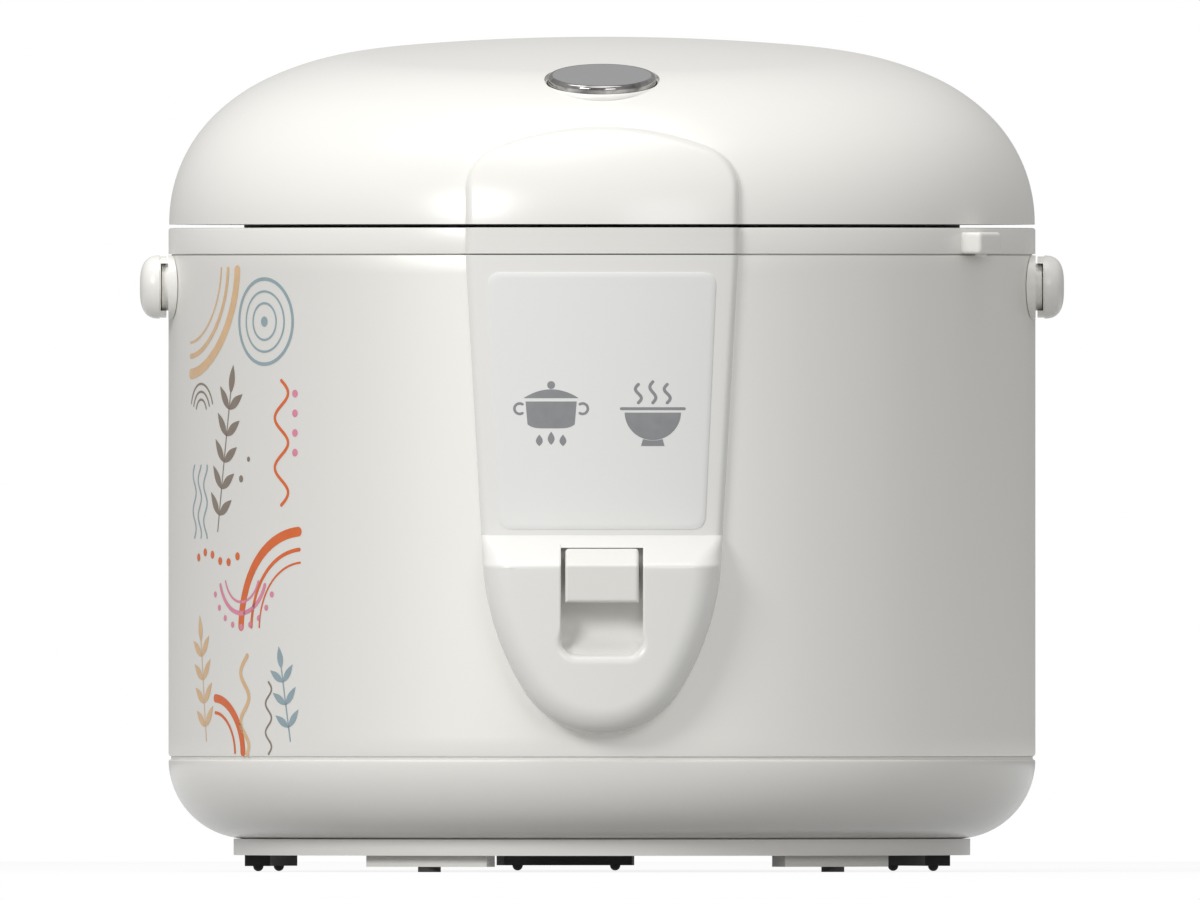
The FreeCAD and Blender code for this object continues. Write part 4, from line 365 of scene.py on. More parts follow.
def with_hole(points, quads, centre, radius, offset, depth):
    """Opens a round hole in a dome.

    Quads inside it go, the points next to it move out to the circle, and a short wall goes down from there.
    """
    upper_lid = SEAM + 20
    points = points.copy()
    way = points[:, :2] - np.asarray(centre)
    reach = np.hypot(*way.T)
    inside = (reach < radius) & (points[:, 2] > upper_lid)
    kept = quads[~inside[quads].all(1)]
    edge = np.intersect1d(np.unique(kept), np.flatnonzero(inside))
    points[edge, :2] = np.asarray(centre) + way[edge] / reach[edge][:, None] * radius
    points[edge, 2] = dome_z(points[edge, 0], points[edge, 1], offset)
    loop = edge[np.argsort(np.arctan2(way[edge, 1], way[edge, 0]))]
    lower = points[loop] - (0, 0, depth)
    new = len(points) + np.arange(len(loop))
    wall = stacked(loop, np.roll(loop, -1), np.roll(new, -1), new)
    return chain(points, lower), chain(kept, wall)


def lid_shell_shape():
    """Outer and inner dome, joined by a flat rim at the seam, with the holes for button and vent."""
    columns, lean = 288, 0.2
    outer = dome_grid(0.0, 96, columns)
    inner = dome_grid(-LID_WALL, 48, columns)
    rim = sheet((inner[0][:columns], outer[0][:columns]), True)
    button = (BUTTON_AT[0], BUTTON_AT[1] + lean)
    for centre, radius in ((button, BUTTON_HOLE), (VENT_AT, VENT_HOLE)):
        outer = with_hole(*outer, centre, radius, 0.0, LID_WALL)
        inner = with_hole(*inner, centre, radius, -LID_WALL, 0.0)
    return joined(outer, (inner[0], inner[1][:, ::-1]), rim)


def arch_outline(inset):
    """The lid tongue's outline from the front, moved in by inset: side, corner, wide arch, corner, side."""
    side_x, centre_z = TONGUE_HALF - ARCH_CORNER, ARCH_TOP - ARCH_R
    side_z = centre_z + sqrt((ARCH_R - ARCH_CORNER) ** 2 - side_x ** 2)
    lean = degrees(asin(side_x / (ARCH_R - ARCH_CORNER)))
    left = upright(-TONGUE_HALF + inset, SEAM, side_z, 24)
    bend = arc((-side_x, side_z), ARCH_CORNER - inset, 180, 90 + lean, 22)[1:]
    top = arc((0, centre_z), ARCH_R - inset, 90 + lean, 90 - lean, 56)[1:]
    half = chain(left, bend)
    return chain(half, top, mirrored(half))


def lid_tongue_shape(edge):
    """Rings that follow the arch: a flank out of the dome, a quarter round of the edge's radius, then a face.

    The face is the dome grown by the strip's rise, and closes in on the middle of the seam. A floor runs back
    along the seam.
    """
    floor_depth = np.array([0, 5.0, 0])
    lines = [(arch_outline(0.0), SUNK), (arch_outline(0.0), (STRIP_RISE - edge) * 0.5)]
    lines += [(arch_outline(edge * (1 - cos(a))), STRIP_RISE - edge + edge * sin(a))
              for a in quarter(9)]
    face, middle = arch_outline(edge), np.array([0.0, SEAM])
    lines += [(middle + (face - middle) * share, STRIP_RISE) for share in np.linspace(1, 0, 34)[1:]]
    points = np.stack([stacked(line[:, 0], dome_front(*line.T, offset), line[:, 1])
                       for line, offset in lines])
    base = chain(points[:, 0], points[::-1, -1])
    return joined(sheet(points, turned=True), sheet((base, base + floor_depth), turned=True))


def on_body(x, z, rise):
    """Points of the front at a rise above the jacket: y = -sqrt((body radius + rise)^2 - x^2)."""
    return stacked(x, -np.sqrt((BODY_R + rise) ** 2 - x ** 2), z)


def strip_shape(levels, halves, foot_face, top_face):
    """A raised strip on the jacket: each level has flanks, rounded edges and a face of its own width."""
    bend = quarter(9)
    inset = chain([0, 0], STRIP_EDGE * (1 - np.cos(bend)))
    round_edge = STRIP_RISE - STRIP_EDGE + STRIP_EDGE * np.sin(bend)
    flank = chain([SUNK, (STRIP_RISE - STRIP_EDGE) / 2], round_edge)
    middle = np.linspace(-1, 1, 60)[1:-1]
    rise = chain(flank, np.full(len(middle), STRIP_RISE), flank[::-1])
    rows = []
    for z, half in zip(levels, halves):
        x = chain(inset - half, middle * (half - STRIP_EDGE), (half - inset)[::-1])
        rows.append(on_body(x, z, rise))
    if foot_face:
        rows.insert(0, on_body(rows[0][:, 0], levels[0], SUNK))
    if top_face:
        rows.append(on_body(rows[-1][:, 0], levels[-1], SUNK))
    return sheet(rows)


def panel_side(z):
    """Half width of the panel above its turn: straight from the turn to the jacket's top."""
    return PANEL_HALF + (z - PANEL_TURN) / (JACKET_TOP - PANEL_TURN) * (TONGUE_HALF - PANEL_HALF)


def bulge_outline():
    """The bulge's outline from the left crease to the right: sides, wide flank arcs and the tip's circle.

    Each flank's arc and the tip's circle share a tangent where they meet. The outline's outward normals and
    the number of points in each stretch come with it.
    """
    drop = PANEL_TURN - PANEL_TIP - TIP_R
    flank = (PANEL_HALF ** 2 + drop ** 2 - TIP_R ** 2) / (2 * (PANEL_HALF - TIP_R))
    lean = degrees(atan2(drop, flank - PANEL_HALF))
    start = degrees(asin(FLANK_START / flank))
    z = chain(np.linspace(CREASE_Z, RIDGE_Z + 1, 14), np.linspace(RIDGE_Z + 1, RIDGE_Z - 1, 9)[1:],
              np.linspace(RIDGE_Z - 1, PANEL_TURN - FLANK_START, 5)[1:])
    below = np.minimum(z - PANEL_TURN, 0)
    side = np.where(z > PANEL_TURN, panel_side(z), PANEL_HALF - flank + np.sqrt(flank ** 2 - below ** 2))
    upper = stacked(-side, z)
    sag = arc((flank - PANEL_HALF, PANEL_TURN), flank, 180 + start, 180 + lean, 60)[1:]
    tip = arc((0, PANEL_TIP + TIP_R), TIP_R, 180 + lean, 360 - lean, 70)[1:]
    left = chain(upper, sag)
    line = chain(left, tip, mirrored(left))
    way = np.gradient(line, axis=0)
    normal = stacked(way[:, 1], -way[:, 0])
    normal /= np.linalg.norm(normal, axis=1)[:, None]
    straight = len(upper) - 4
    normal[:straight] = (-1, 0)
    normal[-straight:] = (1, 0)
    return line, normal, (len(upper), len(sag), len(tip))


def pocket_outline(grow, outer, counts):
    """The pocket's sides and rounded foot, moved out by grow, a point for each of the outer outline."""
    upper, sag, tip = counts
    half, foot, corner = POCKET_HALF + grow, POCKET_FOOT - grow, POCKET_CORNER + grow
    high = stacked(-half, outer[:upper, 1])
    side = upright(-half, outer[upper - 1, 1], foot + corner, sag + 1)[1:]
    bend = tip // 3
    flat = tip - 2 * bend
    left_bend = arc((-half + corner, foot + corner), corner, 180, 270, bend + 1)[1:]
    base = stacked(np.linspace(-half + corner, half - corner, flat + 1)[1:], foot)
    right_bend = arc((half - corner, foot + corner), corner, 270, 360, bend + 1)[1:]
    left = chain(high, side)
    return chain(left, left_bend, base, right_bend, mirrored(left))


def bulge_height(z):
    """Height of the bulge above the jacket: a slope s from crease to ridge, then a slow fall f.

    The lower of the two, with a soft turn between them, is (s + f - sqrt((s - f)^2 + ease)) / 2.
    """
    slope = STRIP_RISE + (CREASE_Z - z) / (CREASE_Z - RIDGE_Z) * (BULGE_TOP - STRIP_RISE)
    fall = BULGE_TOP - (RIDGE_Z - z) / (RIDGE_Z - PANEL_TIP + TIP_MARGIN) * BULGE_FALL
    return (slope + fall - np.sqrt((slope - fall) ** 2 + RIDGE_EASE)) / 2


def bulge_edge(z):
    """Rounding of the bulge's outline: from the strip's edge at the crease to its own at the ridge."""
    share = np.clip((CREASE_Z - z) / (CREASE_Z - RIDGE_Z), 0, 1)
    return STRIP_EDGE + (BULGE_EDGE - STRIP_EDGE) * eased(share)


def on_bulge(line, lowered=0.0):
    """Points of the front on the bulge's face, or lowered below it."""
    return on_body(*line.T, bulge_height(line[:, 1]) - lowered)


def scoop(z):
    """The y of the pocket's floor: flat, then a quarter round towards the lip at its foot."""
    low = np.clip(POCKET_FOOT + SCOOP_R - z, 0, SCOOP_R)
    return -POCKET_BACK - SCOOP_R + np.sqrt(SCOOP_R ** 2 - low ** 2)


def pocket_lip(z):
    """Rounding of the pocket's lip: small at the sides, large at the foot, none above the pocket's top."""
    side_lip, foot_lip, reach = 0.7, 3.0, 9.0
    past_top, fade = 0.4, 1.2
    grown = side_lip + (foot_lip - side_lip) * eased(np.clip((POCKET_FOOT + reach - z) / reach, 0, 1))
    return grown * np.clip((POCKET_TOP + past_top - z) / fade, 0, 1)


def bulge_shape():
    """Rings from the bulge's outline to the finger pocket.

    They make flank, rounded edge, face, the pocket's soft lip, its walls, and a floor that scoops up to it. A
    brow above the pocket closes the slope.
    """
    line, normal, counts = bulge_outline()
    edge, height = bulge_edge(line[:, 1]), bulge_height(line[:, 1])
    rows = [on_body(*line.T, share * (height - edge) + SUNK * (1 - share)) for share in (0.0, 0.5)]
    for a in quarter(14):
        at = line - normal * (edge * (1 - cos(a)))[:, None]
        rows.append(on_bulge(at, edge * (1 - sin(a))))
    last = line - normal * edge[:, None]
    inner, wider = pocket_outline(0.0, line, counts), pocket_outline(1.0, line, counts)
    lip = pocket_lip(inner[:, 1])
    start = inner + (wider - inner) * lip[:, None]
    rows += [on_bulge(last + (start - last) * share) for share in np.linspace(0, 1, 30)[1:]]
    for a in quarter(9)[1:]:
        at = inner + (wider - inner) * (lip * (1 - sin(a)))[:, None]
        rows.append(on_bulge(at, lip * (1 - cos(a))))
    mouth = rows[-1][:, 1]
    back = np.maximum(scoop(inner[:, 1]), mouth)
    wall = [stacked(inner[:, 0], mouth + (back - mouth) * share, inner[:, 1])
            for share in np.linspace(0, 1, 8)]
    floor = [wall[-1]]
    for share in np.linspace(1, 0, 22)[1:]:
        x, z = inner[:, 0] * share, POCKET_TOP + (inner[:, 1] - POCKET_TOP) * share
        floor.append(stacked(x, scoop(z), z))
    x, z = np.meshgrid(np.linspace(-POCKET_HALF, POCKET_HALF, 20), np.linspace(POCKET_TOP, CREASE_Z, 8))
    brow, brow_depth = on_body(x, z, bulge_height(z)), np.array([0, 6.0, 0])
    brow_wall = sheet((brow[0], brow[0] + brow_depth), turned=True)
    return joined(sheet(rows), sheet(wall), sheet(floor), sheet(brow), brow_wall)


def panel_shape():
    """Upper face of the panel over the jacket, and below its crease the bulge with the finger pocket."""
    levels = np.linspace(CREASE_Z, JACKET_TOP, 40)
    return joined(strip_shape(levels, panel_side(levels), False, True), bulge_shape())


def label_shape(film):
    """A tapered film with round corners: its edge, then rings that close in on its middle, on the panel."""
    line = softened(LABEL_CORNERS, LABEL_ROUND, 12)
    way = np.linspace(0, 1, 13)[1:]
    dense = line[:, None] + (np.roll(line, -1, 0) - line)[:, None] * way[None, :, None]
    line = dense.reshape(-1, 2)
    middle = line.mean(0)
    rows = [on_body(*line.T, STRIP_RISE), on_body(*line.T, STRIP_RISE + film * 0.7)]
    for share in np.linspace(0.996, 0, 26):
        at = middle + (line - middle) * share
        rows.append(on_body(*at.T, STRIP_RISE + film))
    return sheet(rows, True)


def tube_x(inner, start, stop):
    """A barrel along X between two places, with a bore and softened rims, about the hinge's axis."""
    ring = softened([(inner, start), (BARREL_R, start), (BARREL_R, stop), (inner, stop)], 0.4, 4)
    return sheet(round_x(ring[:, 1], ring[:, 0], HINGE_AT, 72), True, True)


def bracket_shape():
    """The scoop bracket: a block with rounded edges that shrinks over its front, and a peg below.

    It is made in front and turned to its place on the ring.
    """
    half, tall, back, front, corner = 6.4, 6.6, 130.7, 139.2, 1.2
    peg_r, peg_inset, peg_drop = 1.8, 3.6, 0.9
    low, high = RING_FOOT, RING_FOOT + tall
    section = softened([(-half, low), (half, low), (half, high), (-half, high)], corner, 7)
    middle, size = np.array([0, (low + high) / 2]), np.array([half, tall / 2])
    rings = [(back, 0.0)]
    rings += [(front - corner + corner * sin(a), corner * (1 - cos(a))) for a in quarter(7)]
    rows = []
    for reach, inset in rings:
        at = middle + (section - middle) * ((size - inset) / size)
        rows.append(stacked(at[:, 0], -reach, at[:, 1]))
    rows.append(np.broadcast_to(np.array([0, -front, middle[1]]), rows[0].shape))
    foot, head = low - peg_drop, low + 1
    peg, peg_quads = lathe(softened([(0.01, foot), (peg_r, foot), (peg_r, head), (0.01, head)], 0.3, 4), 28)
    points, quads = joined(sheet(rows, True), (peg - (0, front - peg_inset, 0), peg_quads))
    c, s = cos(BRACKET_TURN), sin(BRACKET_TURN)
    return points @ np.array([[c, s, 0], [-s, c, 0], [0, 0, 1]]), quads


def in_window(middle, window):
    """Which points lie in a window of the jacket, given by its half width, foot and top."""
    half, low, high = window
    return (np.abs(middle[:, 0]) < half) & (middle[:, 2] > low) & (middle[:, 2] < high)


def jacket_shape():
    """The painted sheet: wall, hem and rolled top, with windows for lever and inlet."""
    levels = np.linspace(JACKET_FOOT + 1, JACKET_TOP - 0.6, 30)
    levels = np.unique(chain(levels, LEVER_WINDOW[1:], INLET_WINDOW[1:]))
    wall = stacked(BODY_R, levels)
    inner = stacked(BODY_R - JACKET_SHEET, levels)[::-1]
    foot = [(HEM_R, JACKET_FOOT), (BODY_R - 0.9, JACKET_FOOT), (BODY_R - 0.26, JACKET_FOOT + 0.26)]
    top = [(BODY_R - 0.2, JACKET_TOP - 0.1), (BODY_R - 0.6, JACKET_TOP)]
    profile = chain(foot, wall, top, inner, [(HEM_R, JACKET_FOOT + JACKET_SHEET)])
    lever, inlet = asin(LEVER_WINDOW[0] / BODY_R), asin(INLET_WINDOW[0] / BODY_R)
    turns = chain(np.linspace(-lever, lever, 15), np.linspace(lever, pi - inlet, 128)[1:],
                  np.linspace(pi - inlet, pi + inlet, 15)[1:],
                  np.linspace(pi + inlet, 2 * pi - lever, 128)[1:-1])

    def window(middle):
        """Which middles lie on the upright wall in one of the two windows."""
        upright_wall = np.hypot(middle[:, 0], middle[:, 1]) > BODY_R - 1.5
        front = in_window(middle, LEVER_WINDOW) & (middle[:, 1] < 0)
        behind = in_window(middle, INLET_WINDOW) & (middle[:, 1] > 0)
        return upright_wall & (front | behind)

    return windowed(profile, turns, window)


def base_shape():
    """The bowl: a floor, a quarter round up to the groove, the neck in the jacket and the wall's inside."""
    centre = (BODY_R - BOWL_CORNER, BOWL_TOP)
    bowl = arc(centre, BOWL_CORNER, -90, -2, 40)
    inner = arc(centre, BOWL_CORNER - BOWL_WALL, -8, -90, 24)
    lip = [(BODY_R - 0.08, BOWL_TOP - 0.35), (BODY_R - 0.4, BOWL_TOP)]
    neck = [(NECK_R, BOWL_TOP), (NECK_R, JACKET_FOOT), (HEM_R, JACKET_FOOT), (HEM_R, JACKET_FOOT - 4.0)]
    floor, floor_top = [(BOWL_FLOOR_R, PLATE_TOP)], [(BOWL_FLOOR_R, PLATE_TOP + BOWL_WALL)]
    return lathe(chain(floor, bowl, lip, neck, inner, floor_top), 256)


def ring_shape():
    """The rim ring's section taken round, with the slot that the latch passes through left open."""
    half, near, far = LATCH_SLOT
    skirt_in, skirt_out, skirt_foot = RING_SKIRT
    lip_foot, lip_r = 187.05, 110.4
    outer = [(BODY_R, RING_FOOT), (BODY_R, RING_TOP - 0.7), (BODY_R - 0.2, RING_TOP - 0.2)]
    top = [(BODY_R - 0.7, RING_TOP), (far, RING_TOP), (near, RING_TOP), (RING_BORE + 0.6, RING_TOP)]
    bore = [(RING_BORE + 0.1, RING_TOP - 0.2), (RING_BORE, RING_TOP - 0.8), (RING_BORE, lip_foot)]
    under = [(lip_r, lip_foot), (lip_r, RING_UNDER), (near, RING_UNDER), (far, RING_UNDER)]
    skirt = [(skirt_in, RING_UNDER), (skirt_in, skirt_foot), (skirt_out, skirt_foot), (skirt_out, RING_FOOT)]
    slot = atan(half / ((near + far) / 2))
    turns = chain(np.linspace(-slot, slot, 5), np.linspace(slot, 2 * pi - slot, 251)[1:-1])

    def opening(middle):
        """Which middles lie over the latch's slot."""
        reach = np.hypot(middle[:, 0], middle[:, 1])
        front = (np.abs(middle[:, 0]) < half) & (middle[:, 1] < 0) & (middle[:, 2] > RING_FOOT)
        return front & (reach > near) & (reach < far)

    return windowed(chain(outer, top, bore, under, skirt), turns, opening)


def ring_tongue_shape():
    """The stretch of the raised strip that belongs to the rim ring, closed above and below."""
    levels = np.array([RING_FOOT, RING_FOOT + 0.15, RING_TOP - 0.4, RING_TOP])
    return strip_shape(levels, np.full(4, TONGUE_HALF), True, True)


def on_button(profile, closed=True):
    """A profile taken round the button's own axis, tilted forward and moved to its place on the lid."""
    points, quads = lathe(profile, 128, closed)
    c, s = cos(BUTTON_TILT), sin(BUTTON_TILT)
    x, y, h = points.T
    return stacked(x, y * c - h * s, y * s + h * c) + np.array(BUTTON_AT), quads


def button_top_shape():
    """The button's brushed disc, a shallow dish whose height grows with the square of the radius."""
    middle, dish = -0.1, 0.06
    r = np.linspace(DISC_R, 0, 14)
    return on_button(stacked(r, middle + dish * (r / DISC_R) ** 2), False)


def button_rim_shape():
    """The button's bright bevel and skirt, and the stem below it."""
    skirt_foot, seat, axis = -4.0, -0.3, 0.02
    stem = [(STEM_R, STEM_FOOT), (STEM_R, skirt_foot), (BEVEL_R + BEVEL, skirt_foot)]
    bevel = arc((BEVEL_R, -BEVEL), BEVEL, 0, 90, 9)
    dish = [(BEVEL_R - 0.2, -0.04), (BEVEL_R - 0.4, seat), (axis, seat), (axis, STEM_FOOT)]
    return on_button(chain(stem, bevel, dish))


def well_shape():
    """The sleeve round the button: a floor with a hole for the stem, and a wall whose rim clears the dome."""
    hole, inside, outside, foot, floor = STEM_R + 0.3, 16.9, 18.3, -14.0, -12.6
    wall = [(outside, -3.3), (17.9, -2.6), (17.3, -2.3), (16.95, -2.5), (inside, -3.0)]
    return on_button([(hole, foot), (outside, foot)] + wall + [(inside, floor), (hole, floor)])


def cap_shape():
    """Two full round caps over the handle's hubs: radius = R (1 - t^n)^(1/3), with t from hub to crown."""
    t = np.sin(np.linspace(0, pi / 2, 26))
    reach = chain([CAP_FOOT], CAP_FOOT + (CAP_CROWN - CAP_FOOT) * t)
    r = chain([0.0], CAP_R * np.maximum(1 - t ** CAP_FULLNESS, 0) ** (1 / 3))
    right, quads = sheet(round_x(reach, r, SWIVEL_AT, 96), True)
    return joined((right, quads), (right * (-1, 1, 1), quads[:, ::-1]))


def pot_shape():
    """The inner pot: flat bottom, round corner, straight wall and a flange with a soft edge."""
    side, floor = POT_CENTRE[0] + POT_CORNER, POT_CENTRE[1] - POT_CORNER
    lip = RING_TOP + 1.5
    outer = [[(0.0, floor)], arc(POT_CENTRE, POT_CORNER, -90, 0, 24), [(side, RING_TOP)]]
    flange = [(POT_FLANGE - 0.2, RING_TOP), (POT_FLANGE, RING_TOP + 0.3), (POT_FLANGE, RING_TOP + 1.2),
              (POT_FLANGE - 0.3, lip), (side - 0.9, lip), (side - 1.8, RING_TOP + 1.1)]
    inner = [[(side - POT_WALL, RING_TOP)], arc(POT_CENTRE, POT_CORNER - POT_WALL, 0, -90, 24),
             [(0.0, floor + POT_WALL)]]
    return lathe(np.concatenate(outer + [flange] + inner), 192, False)


# Print


def ribbon(path, width):
    """A line of one width: points half a width to each side of a path, across its way, with rounded ends."""
    path = np.asarray(path, float)
    way = np.gradient(path, axis=0)
    way /= np.linalg.norm(way, axis=1)[:, None]
    side = stacked(-way[:, 1], way[:, 0])
    a = np.radians(np.linspace(88, 0, 6))[:-1]
    ends = len(a)
    head = path[0] - way[0] * (np.sin(a) * width / 2)[:, None]
    tail = (path[-1] + way[-1] * (np.sin(a) * width / 2)[:, None])[::-1]
    line = chain(head, path, tail)
    across = chain(np.tile(side[0], (ends, 1)), side, np.tile(side[-1], (ends, 1)))
    half = np.full(len(line), width / 2)
    half[:ends] = np.cos(a) * width / 2
    half[-ends:] = half[:ends][::-1]
    return sheet((line - across * half[:, None], line + across * half[:, None]))


def filled(lower, upper):
    """The area between two lines of as many points, in equal shares from one to the other."""
    return sheet([lower + (upper - lower) * t for t in np.linspace(0, 1, 5)])


def disc(centre, radius):
    """A round dot."""
    return filled(arc(centre, radius, 180, 360, 17), arc(centre, radius, 180, 0, 17))


def ring_line(centre, radius, width):
    """A full circle of one line width."""
    return filled(arc(centre, radius + width / 2, 0, 360, 65), arc(centre, radius - width / 2, 0, 360, 65))


def wave(x, low, high, swing, turns, phase=0.0):
    """A line that climbs evenly and swings to both sides as a sine."""
    t = np.linspace(0, 1, 80)
    return stacked(x + swing * np.sin(2 * pi * turns * t + phase), low + (high - low) * t)


def leaf(foot, angle, length, width):
    """A pointed leaf at an angle: two bows, width * sin(pi t)^0.9 * (1 - 0.35 t) with t from foot to tip."""
    t = np.linspace(0, 1, 21)
    bow = width * np.sin(pi * t) ** 0.9 * (1 - 0.35 * t)
    c, s = cos(radians(angle)), sin(radians(angle))
    turn = np.array([[c, s], [-s, c]])
    lower, upper = stacked(t * length, -bow), stacked(t * length, bow)
    return filled(lower @ turn + foot, upper @ turn + foot)


def sprig(foot, top, pairs, length):
    """Leaves in pairs along a straight stem."""
    stem_width, spread = 0.55, 48
    foot, top = np.asarray(foot, float), np.asarray(top, float)
    lean = degrees(atan2(*(top - foot)[::-1]))
    shapes = [ribbon(np.linspace(foot, top, 12), stem_width), leaf(top, lean, length, length * 0.22)]
    for i in range(pairs):
        at = foot + (top - foot) * (i + 0.6) / (pairs + 0.2)
        shapes += [leaf(at, lean + side * spread, length, length * 0.2) for side in (-1, 1)]
    return shapes


def bows(centre, first, last, count, lines):
    """Arcs about one centre, each with its own radius and line width."""
    return [ribbon(arc(centre, r, first, last, count), width) for r, width in lines]


def print_motifs():
    """The jacket's printed band, by ink: bows, dotted circles, waves and sprigs in (along the jacket, up)."""
    orange = bows((66, 74), 95, 178, 48, ((30, 3.0), (24.5, 1.2), (20.5, 0.7)))
    orange += [ribbon(wave(56, 112, 150, 3.0, 2.5), 1.1)]
    orange += [disc((8 + 5.2 * i, 96 + 1.6 * sin(i * 1.3)), 1.25) for i in range(6)]
    orange += bows((20, 36), 2, 88, 36, ((17, 2.6), (12.6, 1.0)))
    peach = bows((0, 186), 272, 356, 56, ((34, 3.2), (28.6, 1.6), (24.4, 0.8)))
    peach += sprig((14, 40), (10, 70), 4, 8.5)
    peach += [ribbon(wave(38, 36, 66, 2.2, 2.0, 0.6), 1.6)]
    blue = [ring_line((48, 168), r, width) for r, width in ((13, 1.1), (9.2, 0.7), (5.6, 0.7))]
    blue += [disc((48, 168), 1.6)]
    blue += [ribbon(wave(4.5 + 4.4 * i, 102, 124, 1.3, 2.0, 0.9 * i), 0.8) for i in range(3)]
    blue += sprig((60, 40), (56, 62), 3, 7.0)
    pink = bows((36, 92), 200, 340, 48, ((13, 1.4), (9.6, 0.8)))
    pink += [disc(spot, 0.95) for spot in arc((36, 92), 17.2, 205, 335, 9)]
    pink += [disc((62, 128 + 6.0 * i), 1.2) for i in range(4)]
    taupe = sprig((22, 104), (30, 146), 5, 9.0)
    taupe += bows((10, 140), 20, 160, 40, ((9.0, 0.7), (6.6, 0.7), (4.2, 0.7)))
    taupe += [ribbon(wave(50, 36, 58, 1.4, 2.5), 0.7), disc((36, 120), 1.1), disc((40, 126), 0.8)]
    return {"orange": orange, "peach": peach, "blue": blue, "pink": pink, "taupe": taupe}


def round_jacket(shapes, start):
    """Flat print laid round the jacket, a hair above the paint, at the angle start + x / radius."""
    points, quads = joined(*shapes)
    turn = start + points[:, 0] / BODY_R
    r = BODY_R + INK_RISE
    return stacked(r * np.sin(turn), -r * np.cos(turn), points[:, 1]), quads


def pot_sign(x, z):
    """A stock pot with lid and grips over three flames, for cooking."""
    flat = np.linspace(-1, 1, 21)
    body = filled(stacked(x + 7.2 * flat, z - 4.6 + 1.2 * np.abs(flat) ** 5),
                  stacked(x + 7.8 * flat, z + 3.6))
    lid = filled(stacked(x + 8.4 * flat, z + 4.6),
                 stacked(x + 8.0 * flat, z + 4.9 + 2.4 * (1 - flat ** 2)))
    shapes = [body, lid, disc((x, z + 8.6), 1.2)]
    for side, turn in ((-1, 180), (1, 0)):
        shapes.append(ribbon(arc((x + side * 9.6, z + 1.4), 1.6, turn - 122, turn + 122, 20), 0.8))
    for i in (-1, 0, 1):
        shapes.append(leaf((x + 3.6 * i, z - 9.6 - 0.4 * abs(i)), 90, 4.0 - 0.5 * abs(i), 1.25))
    return shapes


def bowl_sign(x, z):
    """A bowl on a foot under three curls of steam, for keeping warm."""
    flat = np.linspace(-1, 1, 21)
    top = stacked(np.linspace(x - 8.6, x + 8.6, 41), z + 0.2)
    foot = filled(stacked(x + 3.6 * flat, z - 10.0),
                  stacked(x + 3.0 * flat, z - 8.3 + 0.45 * flat ** 2))
    rim = ribbon(stacked(x + 9.6 * flat, z + 1.4), 0.9)
    steam = [ribbon(wave(x + 4.4 * i, z + 3.2, z + 9.6 - 0.8 * abs(i), 0.9, 1.0), 0.95) for i in (-1, 0, 1)]
    return [filled(arc((x, z + 0.4), 8.6, 186, 354, 41), top), foot, rim] + steam


def sign_shapes():
    """The two plain signs side by side on the film."""
    side, height = 15.5, 140.0
    points, quads = joined(*pot_sign(-side, height), *bowl_sign(side, height))
    return on_body(*points.T, SIGN_RISE), quads


# Pieces


def runs_backwards(points, quads, outward):
    """Whether a shape's faces look inwards, by signed volume or, for an open shape, by the way outward."""
    a, b, c, d = np.moveaxis(points[quads], 1, 0)
    if outward is None:
        return (a * (np.cross(b, c) + np.cross(c, d))).sum() < 0
    return (np.cross(c - a, d - b) @ np.array(outward)).sum() < 0


def put_piece(look, name, shape, body, slot, nodes=(), outward=None, finish=None):
    """Makes a mesh of a shape, welds its seams and poles, points its faces outwards, and lets it ride.

    Its finish is that of its slot unless another is given.
    """
    weld, sliver, sharp = 2e-6, 1e-7, radians(34)
    points, quads = shape
    mesh = bpy.data.meshes.new(name)
    mesh.from_pydata((points * MM).tolist(), [], quads.tolist())
    work = bmesh.new()
    work.from_mesh(mesh)
    bmesh.ops.remove_doubles(work, verts=work.verts, dist=weld)
    bmesh.ops.dissolve_degenerate(work, edges=work.edges, dist=sliver)
    if runs_backwards(points, quads, outward):
        bmesh.ops.reverse_faces(work, faces=work.faces)
    work.to_mesh(mesh)
    work.free()
    mesh.shade_smooth()
    mesh.set_sharp_from_angle(angle=sharp)
    link_piece(name, mesh, body, finish or finish_for(slot, look), nodes)


def link_piece(name, mesh, body, finish, nodes):
    """Puts a finished mesh into the scene with its material, body and the nodes that it stands for."""
    mesh.materials.append(finish)
    piece = bpy.data.objects.new(name, mesh)
    bpy.context.scene.collection.objects.link(piece)
    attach(piece, body)
    if nodes:
        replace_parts(piece, *nodes)
    return piece


def smooth_copy(node, finish):
    """A copy of a carried-over node: equal corners merge, and narrow angles shade smooth round flat faces."""
    steps_per_metre, sharp = 5e5, radians(28)
    source = frame["nodes"][node].data
    place = np.empty(len(source.vertices) * 3, np.float32)
    source.vertices.foreach_get("co", place)
    corner = np.empty(len(source.loops), np.int32)
    source.loops.foreach_get("vertex_index", corner)
    place = place.reshape(-1, 3).astype(float)
    steps = np.round(place * steps_per_metre).astype(np.int64)
    _, first, again = np.unique(steps, axis=0, return_index=True, return_inverse=True)
    faces = again.ravel()[corner].reshape(-1, 3)
    whole = (faces[:, 0] != faces[:, 1]) & (faces[:, 1] != faces[:, 2]) & (faces[:, 2] != faces[:, 0])
    mesh = bpy.data.meshes.new("smooth_" + node)
    mesh.from_pydata(place[first].tolist(), [], faces[whole].tolist())
    mesh.validate()
    mesh.shade_smooth()
    mesh.set_sharp_from_angle(angle=sharp)
    body = frame["nodes"][node]["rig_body"]
    piece = link_piece("smooth_" + node, mesh, body, finish, (node,))
    weighted = piece.modifiers.new("face_weight", "WEIGHTED_NORMAL")
    weighted.keep_sharp = True
    weighted.weight = 90


# Finishes

